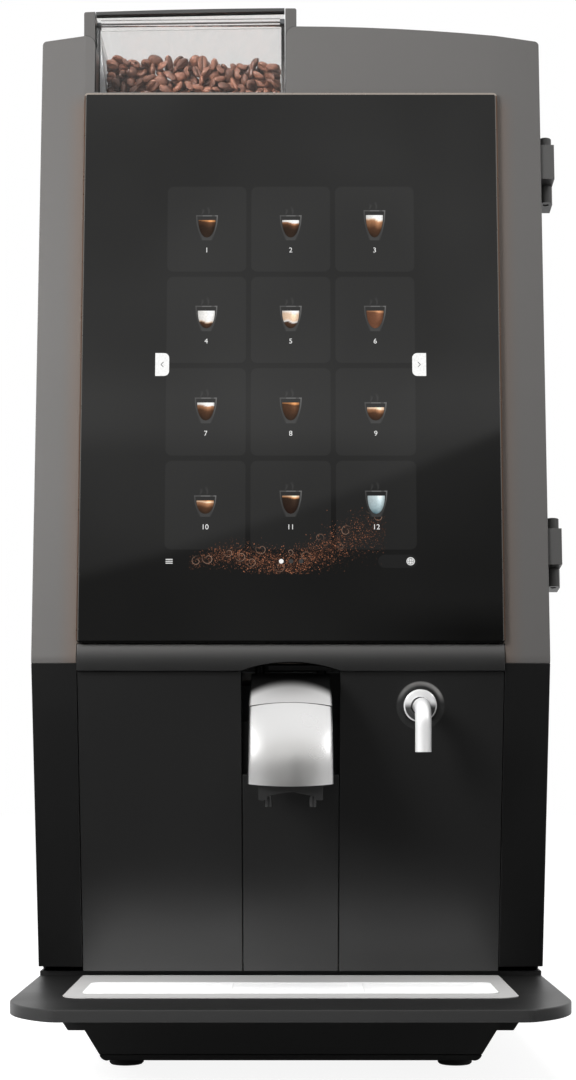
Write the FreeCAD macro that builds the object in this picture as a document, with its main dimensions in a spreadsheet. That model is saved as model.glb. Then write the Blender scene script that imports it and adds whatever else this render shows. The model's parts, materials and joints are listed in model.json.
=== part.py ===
import FreeCAD, Part
import math
import os
import re

import Sketcher
from FreeCAD import Placement, Rotation, Vector

# Bean-to-cup coffee machine for a counter top.
# Millimetres, +Z up, +X to the machine's right as its user sees it, front towards -Y.
# The origin is on the floor, in the middle of the cabinet's width and of the whole depth.

doc = FreeCAD.newDocument("coffee_machine")
sheet = doc.addObject("Spreadsheet::Sheet", "sizes")

# Driving dimensions: name, value, what it is
SIZES = [
    ("body_width", 335, "outer width of the cabinet, the door and the drip tray"),
    ("half_depth", 270, "half of the whole depth, from tray front to water inlet"),
    ("rear_stub", 14, "how far the water inlet stands out behind the rear panel"),
    ("sheet_wall", 2, "thickness of the cabinet's sheet metal"),
    ("front_reach", 136, "how far the fold of the front lies ahead of the origin"),
    ("kink_z", 258.5, "height of the fold of the front"),
    ("upper_run", 57, "how far the upper face leans back by its top corner"),
    ("upper_rise", 420.5, "height of the upper face at its corners"),
    ("lower_run", 36, "how far the lower face recedes by its bottom"),
    ("lower_rise", 202, "height of the lower face"),
    ("arch_rise", 10, "how much higher the top is in the middle than at its corners"),
    ("door_thick", 24, "depth of the door"),
    ("door_gap", 1, "gap between the door and the cabinet"),
    ("fold_radius", 18, "rounding of the cheeks at the fold"),
    ("cheek_sweep", 3, "how far a cheek's outer edge lies behind its inner edge"),
    ("top_corner", 3, "rounding of the door's top corners"),
    ("cheek_wide", 29.5, "width of a cheek beside the glass column"),
    ("screen_low", 10, "distance up the slope from the fold to the glass"),
    ("screen_proud", 3.2, "how far the glass stands out of the door surround"),
    ("screen_corner", 2.5, "corner rounding of the glass panel"),
    ("bezel_wide", 1.4, "width of the bezel round the glass"),
    ("bezel_set", 0.4, "how far the bezel lies behind the glass face"),
    ("screen_land", 5, "width of the surround's face that the glass rests on"),
    ("display_half", 92, "half width of the display module"),
    ("display_low", 48, "distance up the slope from the fold to the display module"),
    ("display_tall", 290, "height of the display module"),
    ("liner_wall", 1.5, "thickness of the door's rear liner"),
    ("liner_inset", 16, "distance from the door's side to the liner's edge"),
    ("notch_in_left", 12.6, "distance of the notch from the hopper's left side"),
    ("notch_in_right", 7.2, "distance of the notch from the hopper's right side"),
    ("notch_lift", 2, "height of the notch's bottom above the upper deck"),
    ("notch_bridge", 2, "door left between the notch and the glass"),
    ("notch_corner", 7, "rounding of the notch's upper corners"),
    ("ledge_low", 7.8, "distance down the lower slope from the fold to the ledge's bottom"),
    ("ledge_radius", 57, "rounding of the ledge strip"),
    ("ledge_thick", 16, "depth of the ledge strip"),
    ("panel_low", 208.2, "distance down the lower slope from the fold to the panel's bottom"),
    ("panel_thick", 5, "thickness of the lower panel"),
    ("panel_set", 0.6, "how far the lower panel lies behind the cheeks"),
    ("panel_gap", 0.4, "joint between the lower panel and its neighbours"),
    ("web_thick", 6, "thickness of the lower frame's web behind the panel"),
    ("channel_half", 32, "half width of the spout channel"),
    ("apron_gap", 0.7, "joint each side of the apron strip"),
    ("travel_spare", 2.3, "spare height of the spout window below the slider"),
    ("channel_arch", 5.6, "rise of the arched cut in the ledge over the channel"),
    ("shelf_thick", 5, "thickness of the shelves that hold the spout's guide rods"),
    ("rod_radius", 3, "radius of the spout's guide rods"),
    ("rod_spread", 20, "distance of each guide rod from the middle"),
    ("rod_depth", 12, "depth of the guide rods behind the lower face"),
    ("run_fit", 0.05, "radial clearance of shafts and pins that turn or slide"),
    ("spout_travel", 40, "how far the spout can be lowered"),
    ("cover_tall", 49.1, "height of the spout's front cover at its sides"),
    ("hood_tall", 22.5, "height of the hood at its sides"),
    ("seam_rise", 3.2, "rise of the seam between cover and hood in the middle"),
    ("seam_gap", 0.3, "gap between the cover and the hood"),
    ("spout_drop", 10, "distance from the fold down to the hood's top"),
    ("spout_out", 52, "how far the spout's nose lies ahead of the fold"),
    ("spout_curve", 76.7, "radius of the spout's front seen from the side"),
    ("spout_half", 26.7, "half width of the front cover"),
    ("cover_taper", 0.6, "how much narrower the cover is at its seam, each side"),
    ("hood_half", 25, "half width of the hood"),
    ("hood_taper", 1.4, "how much narrower the hood is at its top, each side"),
    ("spout_crown", 8, "bulge of the spout's front seen from above"),
    ("spout_round", 4, "rounding of the spout's front corners"),
    ("spout_wall", 2, "wall of the front cover"),
    ("spout_clear", 1.2, "gap between the spout and the face that it slides on"),
    ("slider_tall", 23, "height of the slider block on the guide rods"),
    ("slider_half", 25.5, "half width of the slider block"),
    ("slider_sink", 1.5, "distance from the hood's top down to the slider block"),
    ("neck_half", 14, "half width of the neck between hood and slider"),
    ("nozzle_half", 20, "half width of the nozzle block"),
    ("nozzle_leg", 8.6, "how far the nozzle block's legs stand below the cover"),
    ("nozzle_tip", 4.3, "how far the nozzles stand below the legs"),
    ("nozzle_spread", 13.8, "distance of each nozzle from the middle"),
    ("nozzle_radius", 2.4, "outer radius of a nozzle"),
    ("nozzle_bore", 1.6, "bore of a nozzle"),
    ("nozzle_set", 14, "distance of the nozzles behind the spout's nose"),
    ("tap_x", 83.9, "place of the hot-water tap across the front"),
    ("tap_drop", 30.3, "how far the hot-water tap's flange lies below the fold"),
    ("tap_out", 25.4, "how far the tap's outlet stands out of the lower face"),
    ("tap_fall", 29.8, "how far the tap's outlet lies below its flange"),
    ("tap_radius", 5.2, "outer radius of the tap's tube"),
    ("tap_bore", 4.2, "bore of the tap's tube"),
    ("tap_bend", 13, "radius of the tap's bend"),
    ("flange_radius", 10.7, "radius of the tap's flange"),
    ("flange_thick", 3.2, "thickness of the tap's flange"),
    ("dish_radius", 15.5, "radius of the recess round the tap"),
    ("dish_depth", 3, "depth of the recess round the tap"),
    ("hinge_out", 4.8, "distance of the hinge axis from the cabinet's side"),
    ("hinge_ahead", 6, "distance of the hinge axis ahead of the door's rear"),
    ("knuckle_radius", 4.4, "radius of a hinge knuckle"),
    ("pin_radius", 2, "radius of a hinge pin"),
    ("knuckle_top", 9, "height of a hinge's top knuckle"),
    ("knuckle_mid", 25, "height of a hinge's middle knuckle"),
    ("knuckle_low", 12, "height of a hinge's bottom knuckle"),
    ("knuckle_gap", 0.4, "gap between knuckles"),
    ("leaf_reach", 13, "how far a hinge leaf reaches from the axis"),
    ("hinge_low", 48.6, "distance up the slope from the fold to the lower hinge"),
    ("hinge_pitch", 264.5, "distance between the two hinges"),
    ("hopper_side", 23.4, "distance of the hopper from the body's left side"),
    ("hopper_wide", 148.1, "width of the hopper"),
    ("hopper_front", 36, "how far the hopper's front lies ahead of the origin"),
    ("hopper_rear", 150, "how far the hopper's rear lies behind the origin"),
    ("hopper_tall", 78.2, "height of the hopper above the deck at its right end"),
    ("hopper_fall", 2.7, "how much lower the hopper is at its left end"),
    ("pillar_wide", 7.8, "thickness of the hopper frame's ends"),
    ("deck_drop", 39, "distance from the door's top corners down to the upper deck"),
    ("bin_fit", 0.3, "gap between the bin and the hopper frame"),
    ("bin_wall", 2.5, "wall of the clear bin"),
    ("bin_rim", 12.2, "distance from the hopper's top down to the bin's rim"),
    ("funnel_inset", 8, "step from the bin's side to its funnel"),
    ("funnel_tall", 36, "height of the funnel below the deck"),
    ("neck_outer", 20, "half width of the funnel's neck"),
    ("lid_thick", 3, "thickness of the hopper lid"),
    ("lid_strip", 4, "depth of the dark strip along the lid's front"),
    ("lid_fit", 0.5, "gap round the hopper lid"),
    ("lid_drop", 5.5, "distance from the lid's top down to its hinge axis"),
    ("lid_barrel", 3.2, "radius of the lid's hinge barrel"),
    ("lid_pin", 2.2, "radius of the lid's hinge pins"),
    ("pan_low_z", 13, "underside of the base pan"),
    ("pan_bend_z", 41, "height where the base pan's sides turn upright"),
    ("pan_top_z", 53, "top of the base pan"),
    ("pan_front", 90, "how far the base pan's front lies ahead of the origin"),
    ("pan_inset", 18.5, "step from the body's side to the base pan's underside"),
    ("tongue_low_z", 6.5, "underside of the tongue that carries the drip tray"),
    ("tongue_top_z", 10, "top of the tongue"),
    ("pedestal_set", 94, "distance of the tongue and the tray basin behind the tray's front"),
    ("pedestal_side", 48.5, "step from the body's side to the pedestal at the tongue's top"),
    ("pedestal_flare", 20, "how much wider the basin is at its top, each side"),
    ("pedestal_corner", 4, "rounding of the tongue's lower edges"),
    ("foot_radius", 10.9, "radius of a foot"),
    ("foot_side", 14.4, "distance of a foot from the pedestal's side"),
    ("foot_set", 30, "distance of the feet from the tongue's front and from the rear"),
    ("tray_top_z", 50.2, "top of the drip tray"),
    ("tray_thick", 7.3, "thickness of the drip tray's plate"),
    ("tray_corner", 60, "radius of the tray's front corners"),
    ("tray_corner_deep", 52, "how far back the tray's corner begins"),
    ("tray_blend", 14, "rounding where the tray's corner meets its front"),
    ("tray_edge", 1, "rounding of the tray's upper edge"),
    ("tray_gap", 1.2, "gap between the tray's rear and the base pan"),
    ("basin_wall", 2.5, "wall of the drip basin"),
    ("slide_fit", 0.3, "gap under the drip basin"),
    ("inlay_set", 53, "distance of the inlay behind the tray's front"),
    ("inlay_corner", 12, "rounding of the inlay's front corners"),
    ("inlay_sunk", 2, "depth of the inlay's seat in the tray"),
    ("inlay_rim", 0.4, "how far the inlay stands above the tray"),
    ("inlay_floor", 0.8, "thickness of the inlay's floor"),
    ("grate_side", 10, "rim of the inlay beside the grate's seat"),
    ("grate_set", 20, "rim of the inlay ahead of the grate's seat"),
    ("grate_deep", 58, "depth of the grate's seat"),
    ("grate_fit", 0.4, "gap round the grate"),
    ("grate_thick", 1.6, "thickness of the grate"),
    ("slot_wide", 3, "width of a slot in the grate"),
    ("slot_side", 9, "solid border beside the grate's slots"),
    ("slot_margin", 6.5, "solid border ahead of and behind the grate's slots"),
    ("slot_rib", 8, "solid rib between columns of slots"),
    ("wall_y", 60, "front of the inner bulkhead"),
    ("grind_side", 74.1, "distance from the hopper's left side to the grinder's middle"),
    ("grind_y", 10, "middle of the grinder and the brewing unit in depth"),
    ("grinder_radius", 44, "radius of the grinder housing"),
    ("grinder_tall", 84, "height of the grinder housing"),
    ("motor_radius", 31, "radius of the grinder's motor"),
    ("motor_tall", 84, "height of the grinder's motor"),
    ("burr_radius", 30, "radius of the turning burr"),
    ("burr_shaft", 4, "radius of the burr's shaft"),
    ("brewer_half", 45, "half width of the brewing unit's frame"),
    ("brewer_low_z", 250, "underside of the brewing unit's frame"),
    ("brewer_tall", 160, "height of the brewing unit's frame"),
    ("plate_thick", 7, "thickness of the brewing unit's frame"),
    ("chamber_radius", 30, "outer radius of the brew chamber"),
    ("chamber_bore", 25, "bore of the brew chamber"),
    ("chamber_low", 50, "height of the chamber's underside above the frame's"),
    ("chamber_tall", 70, "height of the brew chamber"),
    ("screw_radius", 4, "radius of the drive screw"),
    ("screw_y", 45, "place of the drive screw in depth"),
    ("bin_side", 25.5, "distance of the waste bin from the left side panel"),
    ("bin_wide", 125, "width of the waste bin"),
    ("bin_ahead", 64, "how far the waste bin's front lies ahead of the origin"),
    ("bin_back", 54, "how far the waste bin's rear lies behind the origin"),
    ("bin_tall", 205, "height of the waste bin"),
    ("can_side", 11.5, "distance of the right canister from the right side panel"),
    ("can_pitch", 76, "distance between the powder canisters"),
    ("can_half", 34, "half width of a powder canister"),
    ("can_wall", 2.5, "wall of a powder canister"),
    ("can_set", 84, "how far a canister's front lies behind the fold of the front"),
    ("can_back", 54, "how far a canister's rear lies behind the origin"),
    ("can_head", 18, "room between a canister's rim and the upper deck's top"),
    ("can_shoulder_z", 506, "height where a canister begins to narrow"),
    ("auger_z", 464, "height of the augers"),
    ("trough_radius", 16, "inner radius of a canister's trough"),
    ("auger_radius", 14.5, "radius of an auger's flight"),
    ("auger_shaft", 4, "radius of an auger's shaft"),
    ("auger_pitch", 22, "pitch of an auger's flight"),
    ("auger_turns", 4, "turns of an auger's flight"),
    ("outlet_long", 18, "length of a canister's outlet"),
    ("mixer_z", 345, "height of the whippers"),
    ("mixer_radius", 17, "outer radius of a mixing chamber"),
    ("mixer_wall", 2, "wall of a mixing bowl"),
    ("mixer_ahead", 44, "how far a mixing chamber reaches forward"),
    ("bowl_radius", 31, "radius of a mixing bowl's rim"),
    ("bowl_tall", 46, "height of a mixing bowl above its chamber"),
    ("whip_radius", 13, "radius of a whipper"),
    ("whip_shaft", 3, "radius of a whipper's shaft"),
    ("drive_radius", 18, "radius of a powder motor"),
    ("drive_long", 40, "length of a powder motor"),
    ("boiler_x", 78, "place of the boiler across"),
    ("boiler_back", 30, "gap between the boiler and the rear panel"),
    ("boiler_radius", 56, "radius of the boiler"),
    ("boiler_tall", 230, "height of the boiler above its stand"),
    ("boiler_stand", 60, "height of the boiler's stand"),
    ("pump_x", -95, "place of the water pump across"),
    ("pump_gap", 15, "gap between the pump's barrel and the inlet valve"),
    ("pump_radius", 24, "radius of the water pump"),
    ("pump_long", 90, "length of the water pump"),
    ("inlet_x", -110, "place of the water inlet across"),
    ("inlet_z", 96, "height of the water inlet"),
    ("inlet_radius", 13.2, "outer radius of the water inlet's thread"),
    ("inlet_bore", 9, "bore of the water inlet"),
    ("valve_size", 44, "size of the inlet valve's block"),
    ("box_side", 13.5, "distance of the control box from the left side panel"),
    ("box_wide", 130, "width of the control box"),
    ("box_low_z", 330, "underside of the control box"),
    ("box_tall", 230, "height of the control box"),
    ("box_deep", 48, "depth of the control box"),
    ("fan_x", 84, "place of the fan across"),
    ("fan_z", 560, "height of the fan"),
    ("fan_half", 46, "half size of the fan's housing"),
    ("fan_deep", 26, "depth of the fan's housing"),
    ("fan_radius", 41, "radius of the fan's opening"),
    ("fan_hub", 16, "radius of the fan's hub"),
    ("fan_tip", 38.5, "radius of the fan's blades"),
    ("vent_long", 46, "length of a vent slot"),
    ("vent_wide", 4, "width of a vent slot"),
    ("vent_pitch", 10, "distance between vent slots"),
    ("socket_x", 96, "place of the mains inlet across"),
    ("socket_z", 96, "height of the mains inlet"),
    ("socket_half", 15, "half width of the mains inlet"),
    ("socket_tall", 22, "height of the mains inlet"),
    ("socket_deep", 24, "depth of the mains inlet"),
    ("rocker_x", 50, "place of the rocker switch across"),
    ("rocker_half", 7, "half width of the rocker"),
    ("rocker_tall", 22, "height of the rocker"),
]

# Sizes that follow from the driving ones: name, formula, what it is
DERIVED = [
    ("half_width", "body_width / 2", "half of the body's width"),
    ("lean_upper", "atan(upper_run / upper_rise)", "angle by which the upper face leans back"),
    ("lean_lower", "atan(lower_run / lower_rise)", "angle by which the lower face recedes"),
    ("corner_z", "kink_z + upper_rise", "height of the door's top corners"),
    ("crown_z", "corner_z + arch_rise", "height of the middle of the arched top"),
    ("arch_radius", "(half_width ^ 2 + arch_rise ^ 2) / (2 * arch_rise)", "radius of the arched top"),
    ("door_bottom_z", "kink_z - lower_rise", "bottom of the door's cheeks"),
    ("column_half", "half_width - cheek_wide", "half width of the glass column"),
    ("deck_z", "corner_z - deck_drop", "top of the upper deck, on which the hopper stands"),
    ("fold_length", "fold_radius * tan((lean_upper + lean_lower) / 2)", "tangent length of the fold"),
    ("fold_upper_y", "-front_reach + fold_length * sin(lean_upper)", "depth where the fold begins"),
    ("fold_upper_z", "kink_z + fold_length * cos(lean_upper)", "height where the fold begins"),
    ("seam_y", "-front_reach + fold_length * sin(lean_lower)", "depth of the seam below the fold"),
    ("seam_z", "kink_z - fold_length * cos(lean_lower)", "height of the seam below the fold"),
    ("upper_depth", "door_thick * cos(lean_upper)", "depth of the door square to its upper face"),
    ("lower_depth", "door_thick * cos(lean_lower)", "depth of the door square to its lower face"),
    ("notch_low_z", "deck_z + notch_lift", "bottom of the door's notch for the hopper"),
    (
        "screen_top",
        "(notch_low_z - kink_z) / cos(lean_upper) - notch_bridge",
        "distance up the slope to the glass's top",
    ),
    ("rear_y", "half_depth - rear_stub", "outer face of the rear panel"),
    ("cabinet_half", "half_width - sheet_wall", "half of the cabinet's inner width"),
    ("cabinet_top_z", "corner_z - sheet_wall", "top of the side panels"),
    (
        "front_cut_y",
        "-front_reach + (crown_z - kink_z) * upper_run / upper_rise + door_thick + door_gap",
        "front of the top panel",
    ),
    ("window_top_z", "kink_z - ledge_low * cos(lean_lower)", "top of the spout window"),
    ("web_front", "lower_depth - web_thick", "depth of the web's front, square to the lower face"),
    ("spout_top_z", "kink_z - spout_drop", "top of the hood"),
    ("spout_seam_z", "spout_top_z - hood_tall", "seam between cover and hood at its sides"),
    ("spout_bottom_z", "spout_seam_z - cover_tall", "bottom of the front cover at its nose"),
    ("spout_nose", "front_reach + spout_out", "how far the spout's nose lies ahead of the origin"),
    (
        "window_low_z",
        "spout_top_z - slider_tall - spout_travel * cos(lean_lower) - travel_spare",
        "bottom of the spout window",
    ),
    ("nozzle_leg_z", "spout_bottom_z - nozzle_leg", "bottom of the nozzle block's legs"),
    ("nozzle_tip_z", "nozzle_leg_z - nozzle_tip", "bottom of the nozzles"),
    ("nozzle_reach", "spout_nose - nozzle_set", "how far the nozzles lie ahead of the origin"),
    ("tap_z", "kink_z - tap_drop", "height of the tap's flange"),
    (
        "tap_reach",
        "front_reach - tap_drop * lower_run / lower_rise + tap_out",
        "how far the tap's outlet lies ahead of the origin",
    ),
    ("tap_end_z", "tap_z - tap_fall", "height of the tap's outlet"),
    ("hopper_left", "-half_width + hopper_side", "left side of the hopper"),
    ("hopper_right", "hopper_left + hopper_wide", "right side of the hopper"),
    ("hopper_top_z", "deck_z + hopper_tall", "height of the hopper at its right end"),
    ("notch_left", "hopper_left + notch_in_left", "left edge of the door's notch"),
    ("notch_right", "hopper_right - notch_in_right", "right edge of the door's notch"),
    ("bin_top_z", "hopper_top_z - bin_rim", "rim of the clear bin"),
    ("bin_left_x", "hopper_left + pillar_wide + bin_fit", "left side of the clear bin"),
    ("bin_right_x", "hopper_right - pillar_wide - bin_fit", "right side of the clear bin"),
    ("bin_front_y", "-hopper_front + bin_fit", "front of the clear bin"),
    ("bin_rear_y", "hopper_rear - pillar_wide - bin_fit", "rear of the clear bin"),
    ("bin_low_z", "deck_z + bin_fit", "underside of the clear bin"),
    ("hopper_arc", "(hopper_right - hopper_left) ^ 2 / (2 * hopper_fall)", "radius of the hopper's top"),
    ("lid_axis_y", "hopper_rear - pillar_wide - lid_barrel - lid_fit", "depth of the lid's hinge axis"),
    ("lid_axis_z", "hopper_top_z - hopper_fall - lid_drop", "height of the lid's hinge axis"),
    ("pan_foot_half", "half_width - pan_inset", "half width of the base pan's underside"),
    ("pedestal_front", "half_depth - pedestal_set", "how far the tongue reaches forward"),
    ("pedestal_half", "half_width - pedestal_side", "half width of the pedestal"),
    ("foot_x", "pedestal_half - foot_side", "distance of a foot from the middle"),
    ("foot_front", "pedestal_front - foot_set", "how far the front feet lie ahead of the origin"),
    ("foot_rear", "rear_y - foot_set", "how far the rear feet lie behind the origin"),
    ("inlay_half", "column_half", "half width of the tray's inlay"),
    ("inlay_front", "half_depth - inlay_set", "how far the inlay's front lies ahead of the origin"),
    ("grate_half", "inlay_half - grate_side", "half width of the grate's seat"),
    ("grate_front", "inlay_front - grate_set", "how far the grate's seat reaches forward"),
    ("grate_rear", "grate_front - grate_deep", "how far the seat's rear lies ahead of the origin"),
    ("slot_long", "(2 * (grate_half - slot_side) - 2 * slot_rib) / 3", "length of a slot in the grate"),
    ("slot_column", "slot_long + slot_rib", "distance between columns of slots"),
    (
        "slot_pitch",
        "(grate_deep - 2 * slot_margin - slot_wide) / 6",
        "distance between rows of slots",
    ),
    ("tray_low_z", "tray_top_z - tray_thick", "underside of the drip tray's plate"),
    ("tray_rear_y", "-pan_front - tray_gap", "rear of the drip tray"),
    ("tray_corner_y", "-half_depth + tray_corner_deep", "depth where the tray's corner begins"),
    (
        "tray_meet_x",
        "half_width - tray_corner + sqrt(tray_corner ^ 2 - tray_corner_deep ^ 2)",
        "where the tray's corner meets its front",
    ),
    ("basin_low_z", "tongue_top_z + slide_fit", "underside of the drip basin"),
    ("basin_floor_z", "basin_low_z + basin_wall", "floor of the drip basin"),
    ("inlay_low_z", "tray_top_z - inlay_sunk", "underside of the inlay"),
    ("inlay_top_z", "tray_top_z + inlay_rim", "top of the inlay"),
    ("grate_low_z", "inlay_low_z + inlay_floor + slide_fit", "underside of the grate"),
    ("pan_floor_z", "pan_low_z + sheet_wall", "floor of the base pan"),
    ("wall_back", "wall_y + sheet_wall", "rear of the inner bulkhead"),
    ("rear_inner", "rear_y - sheet_wall", "inner face of the rear panel"),
    ("grind_x", "hopper_left + grind_side", "middle of the grinder and the brewing unit across"),
    ("grinder_z", "deck_z - funnel_tall - grinder_tall", "underside of the grinder housing"),
    ("bin_left", "-cabinet_half + bin_side", "left side of the waste bin"),
    ("bin_right", "bin_left + bin_wide", "right side of the waste bin"),
    ("can_right_x", "cabinet_half - can_side - can_half", "middle of the right powder canister"),
    ("can_left_x", "can_right_x - can_pitch", "middle of the left powder canister"),
    ("can_top_z", "deck_z - can_head", "rim of a powder canister"),
    ("can_ahead", "front_reach - can_set", "how far a canister's front lies ahead of the origin"),
    ("boiler_y", "rear_inner - boiler_back - boiler_radius", "place of the boiler in depth"),
    ("pump_y", "rear_inner - valve_size - pump_gap - pump_long / 2", "place of the pump in depth"),
    ("box_left", "-cabinet_half + box_side", "left side of the control box"),
    ("chamber_z", "brewer_low_z + chamber_low", "underside of the brew chamber"),
    ("leaf_tall", "knuckle_top + knuckle_mid + knuckle_low", "height of a hinge"),
    ("flange_seat", "panel_set + dish_depth", "depth of the tap flange's seat"),
]

NAMES = {entry[0] for entry in SIZES + DERIVED}


def fill_sheet():
    """Write every size into the sheet under its own name."""
    row = 1
    for alias, number, meaning in SIZES:
        sheet.set(f"A{row}", meaning)
        sheet.set(f"B{row}", str(number))
        sheet.setAlias(f"B{row}", alias)
        row += 1
    for alias, formula, meaning in DERIVED:
        sheet.set(f"A{row}", meaning)
        sheet.set(f"B{row}", "=" + formula)
        sheet.setAlias(f"B{row}", alias)
        row += 1
    doc.recompute()


def bind(formula):
    """Turn the size names in a formula into references to the sheet."""
    return re.sub(
        r"[a-z]\w*",
        lambda found: "sizes." + found.group() if found.group() in NAMES else found.group(),
        str(formula),
    )


def number(owner, formula):
    """Work a formula out as a plain number."""
    found = owner.evalExpression(bind(formula))
    return float(getattr(found, "Value", found))


def upper_face(z):
    """The depth of the upper face at a height."""
    return f"(-front_reach + (({z}) - kink_z) * upper_run / upper_rise)"


def lower_face(z):
    """The depth of the lower face at a height."""
    return f"(-front_reach + (kink_z - ({z})) * lower_run / lower_rise)"


# Profiles


def box_outline(left, right, low, high):
    """The four corners of a rectangle."""
    return [(left, low), (right, low), (right, high), (left, high)]


def round_box(left, right, low, high, radius):
    """A rectangle with rounded corners."""
    left, right, low, high, radius = (f"({each})" for each in (left, right, low, high, radius))
    return [
        (f"{left} + {radius}", low),
        (f"{right} - {radius}", low, radius, 1),
        (right, f"{low} + {radius}"),
        (right, f"{high} - {radius}", radius, 1),
        (f"{right} - {radius}", high),
        (f"{left} + {radius}", high, radius, 1),
        (left, f"{high} - {radius}"),
        (left, f"{low} + {radius}", radius, 1),
    ]


def circle(x, y, radius):
    """A circle, marked as such for draw."""
    return ("circle", x, y, radius)


def add_sketch(body, name, plane, lift="0"):
    """A sketch on one of the body's own origin planes, lifted off it by a formula."""
    sketch = body.newObject("Sketcher::SketchObject", f"{body.Name}_{name}")
    origin = next(each for each in body.Origin.OriginFeatures if each.Role == plane + "_Plane")
    sketch.AttachmentSupport = [(origin, "")]
    sketch.MapMode = "FlatFace"
    sketch.setExpression("AttachmentOffset.Base.z", bind(lift))
    return sketch


def fix(sketch, kind, place, formula):
    """Add one constraint whose value is a formula."""
    index = sketch.addConstraint(Sketcher.Constraint(kind, *place, number(sketch, formula)))
    sketch.setExpression(f"Constraints[{index}]", bind(formula))


def draw_circle(sketch, x, y, radius):
    """A circle whose middle and radius follow the sheet."""
    middle = Vector(number(sketch, x), number(sketch, y), 0)
    ring = Part.Circle(middle, Vector(0, 0, 1), number(sketch, radius))
    index = sketch.addGeometry(ring, False)
    fix(sketch, "DistanceX", (-1, 1, index, 3), x)
    fix(sketch, "DistanceY", (-1, 1, index, 3), y)
    fix(sketch, "Radius", (index,), radius)


def arc_between(start, end, radius, turn):
    """An arc between two points, to the left for a turn of 1 and to the right for -1."""
    half = (end - start) * 0.5
    side = Vector(-half.y, half.x, 0).normalize() * turn
    middle = start + half + side * math.sqrt(max(radius**2 - half.Length**2, 0))
    first, last = (start, end) if turn > 0 else (end, start)
    begin = math.atan2(first.y - middle.y, first.x - middle.x)
    finish = math.atan2(last.y - middle.y, last.x - middle.x)
    if finish < begin:
        finish += 2 * math.pi
    return Part.ArcOfCircle(Part.Circle(middle, Vector(0, 0, 1), radius), begin, finish)


def draw_outline(sketch, corners):
    """A closed outline. A corner with a radius and a turn starts an arc to the next one."""
    places = [Vector(number(sketch, each[0]), number(sketch, each[1]), 0) for each in corners]
    ends = []
    for index, corner in enumerate(corners):
        start, end = places[index], places[(index + 1) % len(corners)]
        if len(corner) == 2:
            edge = sketch.addGeometry(Part.LineSegment(start, end), False)
            ends.append((edge, 1, 2))
            continue
        radius, turn = corner[2], corner[3]
        edge = sketch.addGeometry(arc_between(start, end, number(sketch, radius), turn), False)
        ends.append((edge, 1, 2) if turn > 0 else (edge, 2, 1))
    for index, (edge, start, end) in enumerate(ends):
        following, next_start, _ = ends[(index + 1) % len(ends)]
        sketch.addConstraint(Sketcher.Constraint("Coincident", edge, end, following, next_start))
    for (edge, start, _), corner in zip(ends, corners):
        fix(sketch, "DistanceX", (-1, 1, edge, start), corner[0])
        fix(sketch, "DistanceY", (-1, 1, edge, start), corner[1])
        if len(corner) == 4:
            fix(sketch, "Radius", (edge,), corner[2])


def draw(sketch, shapes):
    """Draw circles and closed outlines into a sketch."""
    for shape in shapes:
        if shape[0] == "circle":
            draw_circle(sketch, *shape[1:])
        else:
            draw_outline(sketch, shape)


# Features


def new_body(name, x="0", y="0", z="0"):
    """An empty body whose own origin sits at the given place."""
    body = doc.addObject("PartDesign::Body", name)
    body.Label = name
    for axis, formula in zip("xyz", (x, y, z)):
        if formula != "0":
            body.setExpression("Placement.Base." + axis, bind(formula))
    return body


def leaning_body(name, face, x="0"):
    """An empty body in the plane of the upper or the lower face, with its origin on the fold."""
    body = new_body(name, x, "-front_reach", "kink_z")
    body.Placement = Placement(Vector(0, 0, 0), Rotation(Vector(1, 0, 0), 1))
    angle = "-lean_upper" if face == "upper" else "lean_lower"
    body.setExpression("Placement.Rotation.Angle", bind(angle))
    return body


def extrude(body, name, plane, low, high, *shapes, cut=False):
    """Pad or cut shapes drawn on a plane, between two places along that plane's axis."""
    lift = f"-({high})" if plane == "XZ" else low
    sketch = add_sketch(body, name, plane, lift)
    draw(sketch, shapes)
    kind = "PartDesign::Pocket" if cut else "PartDesign::Pad"
    feature = body.newObject(kind, sketch.Name + ("_cut" if cut else "_pad"))
    feature.Profile = sketch
    feature.setExpression("Length", bind(f"({high}) - ({low})"))
    feature.Reversed = cut
    return feature


def spin(body, name, corners, cut=False, tilt="V_Axis", x="0", y="0", plane="XZ", lift="0"):
    """Revolve a profile about an axis of its own sketch."""
    sketch = add_sketch(body, name, plane, lift)
    sketch.setExpression("AttachmentOffset.Base.x", bind(x))
    sketch.setExpression("AttachmentOffset.Base.y", bind(y))
    draw(sketch, [corners])
    kind = "PartDesign::Groove" if cut else "PartDesign::Revolution"
    feature = body.newObject(kind, sketch.Name + ("_groove" if cut else "_turn"))
    feature.Profile = sketch
    feature.ReferenceAxis = (sketch, [tilt])
    feature.Angle = 360
    return feature


def loft(body, name, sections, cut=False, plane="XY", ruled=False):
    """Join outlines at several heights into one form."""
    sketches = []
    for index, (height, corners) in enumerate(sections):
        sketch = add_sketch(body, f"{name}{index}", plane, height)
        draw(sketch, [corners])
        sketches.append(sketch)
    kind = "PartDesign::SubtractiveLoft" if cut else "PartDesign::AdditiveLoft"
    feature = body.newObject(kind, f"{body.Name}_{name}_loft")
    feature.Profile = sketches[0]
    feature.Sections = sketches[1:]
    feature.Ruled = ruled
    return feature


def mirror(body, features):
    """Repeat features on the other side of the machine's middle."""
    feature = body.newObject("PartDesign::Mirrored", body.Name + "_mirror")
    feature.Originals = features
    origin = next(each for each in body.Origin.OriginFeatures if each.Role == "YZ_Plane")
    feature.MirrorPlane = (origin, [""])
    body.Tip = feature
    return feature


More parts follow.
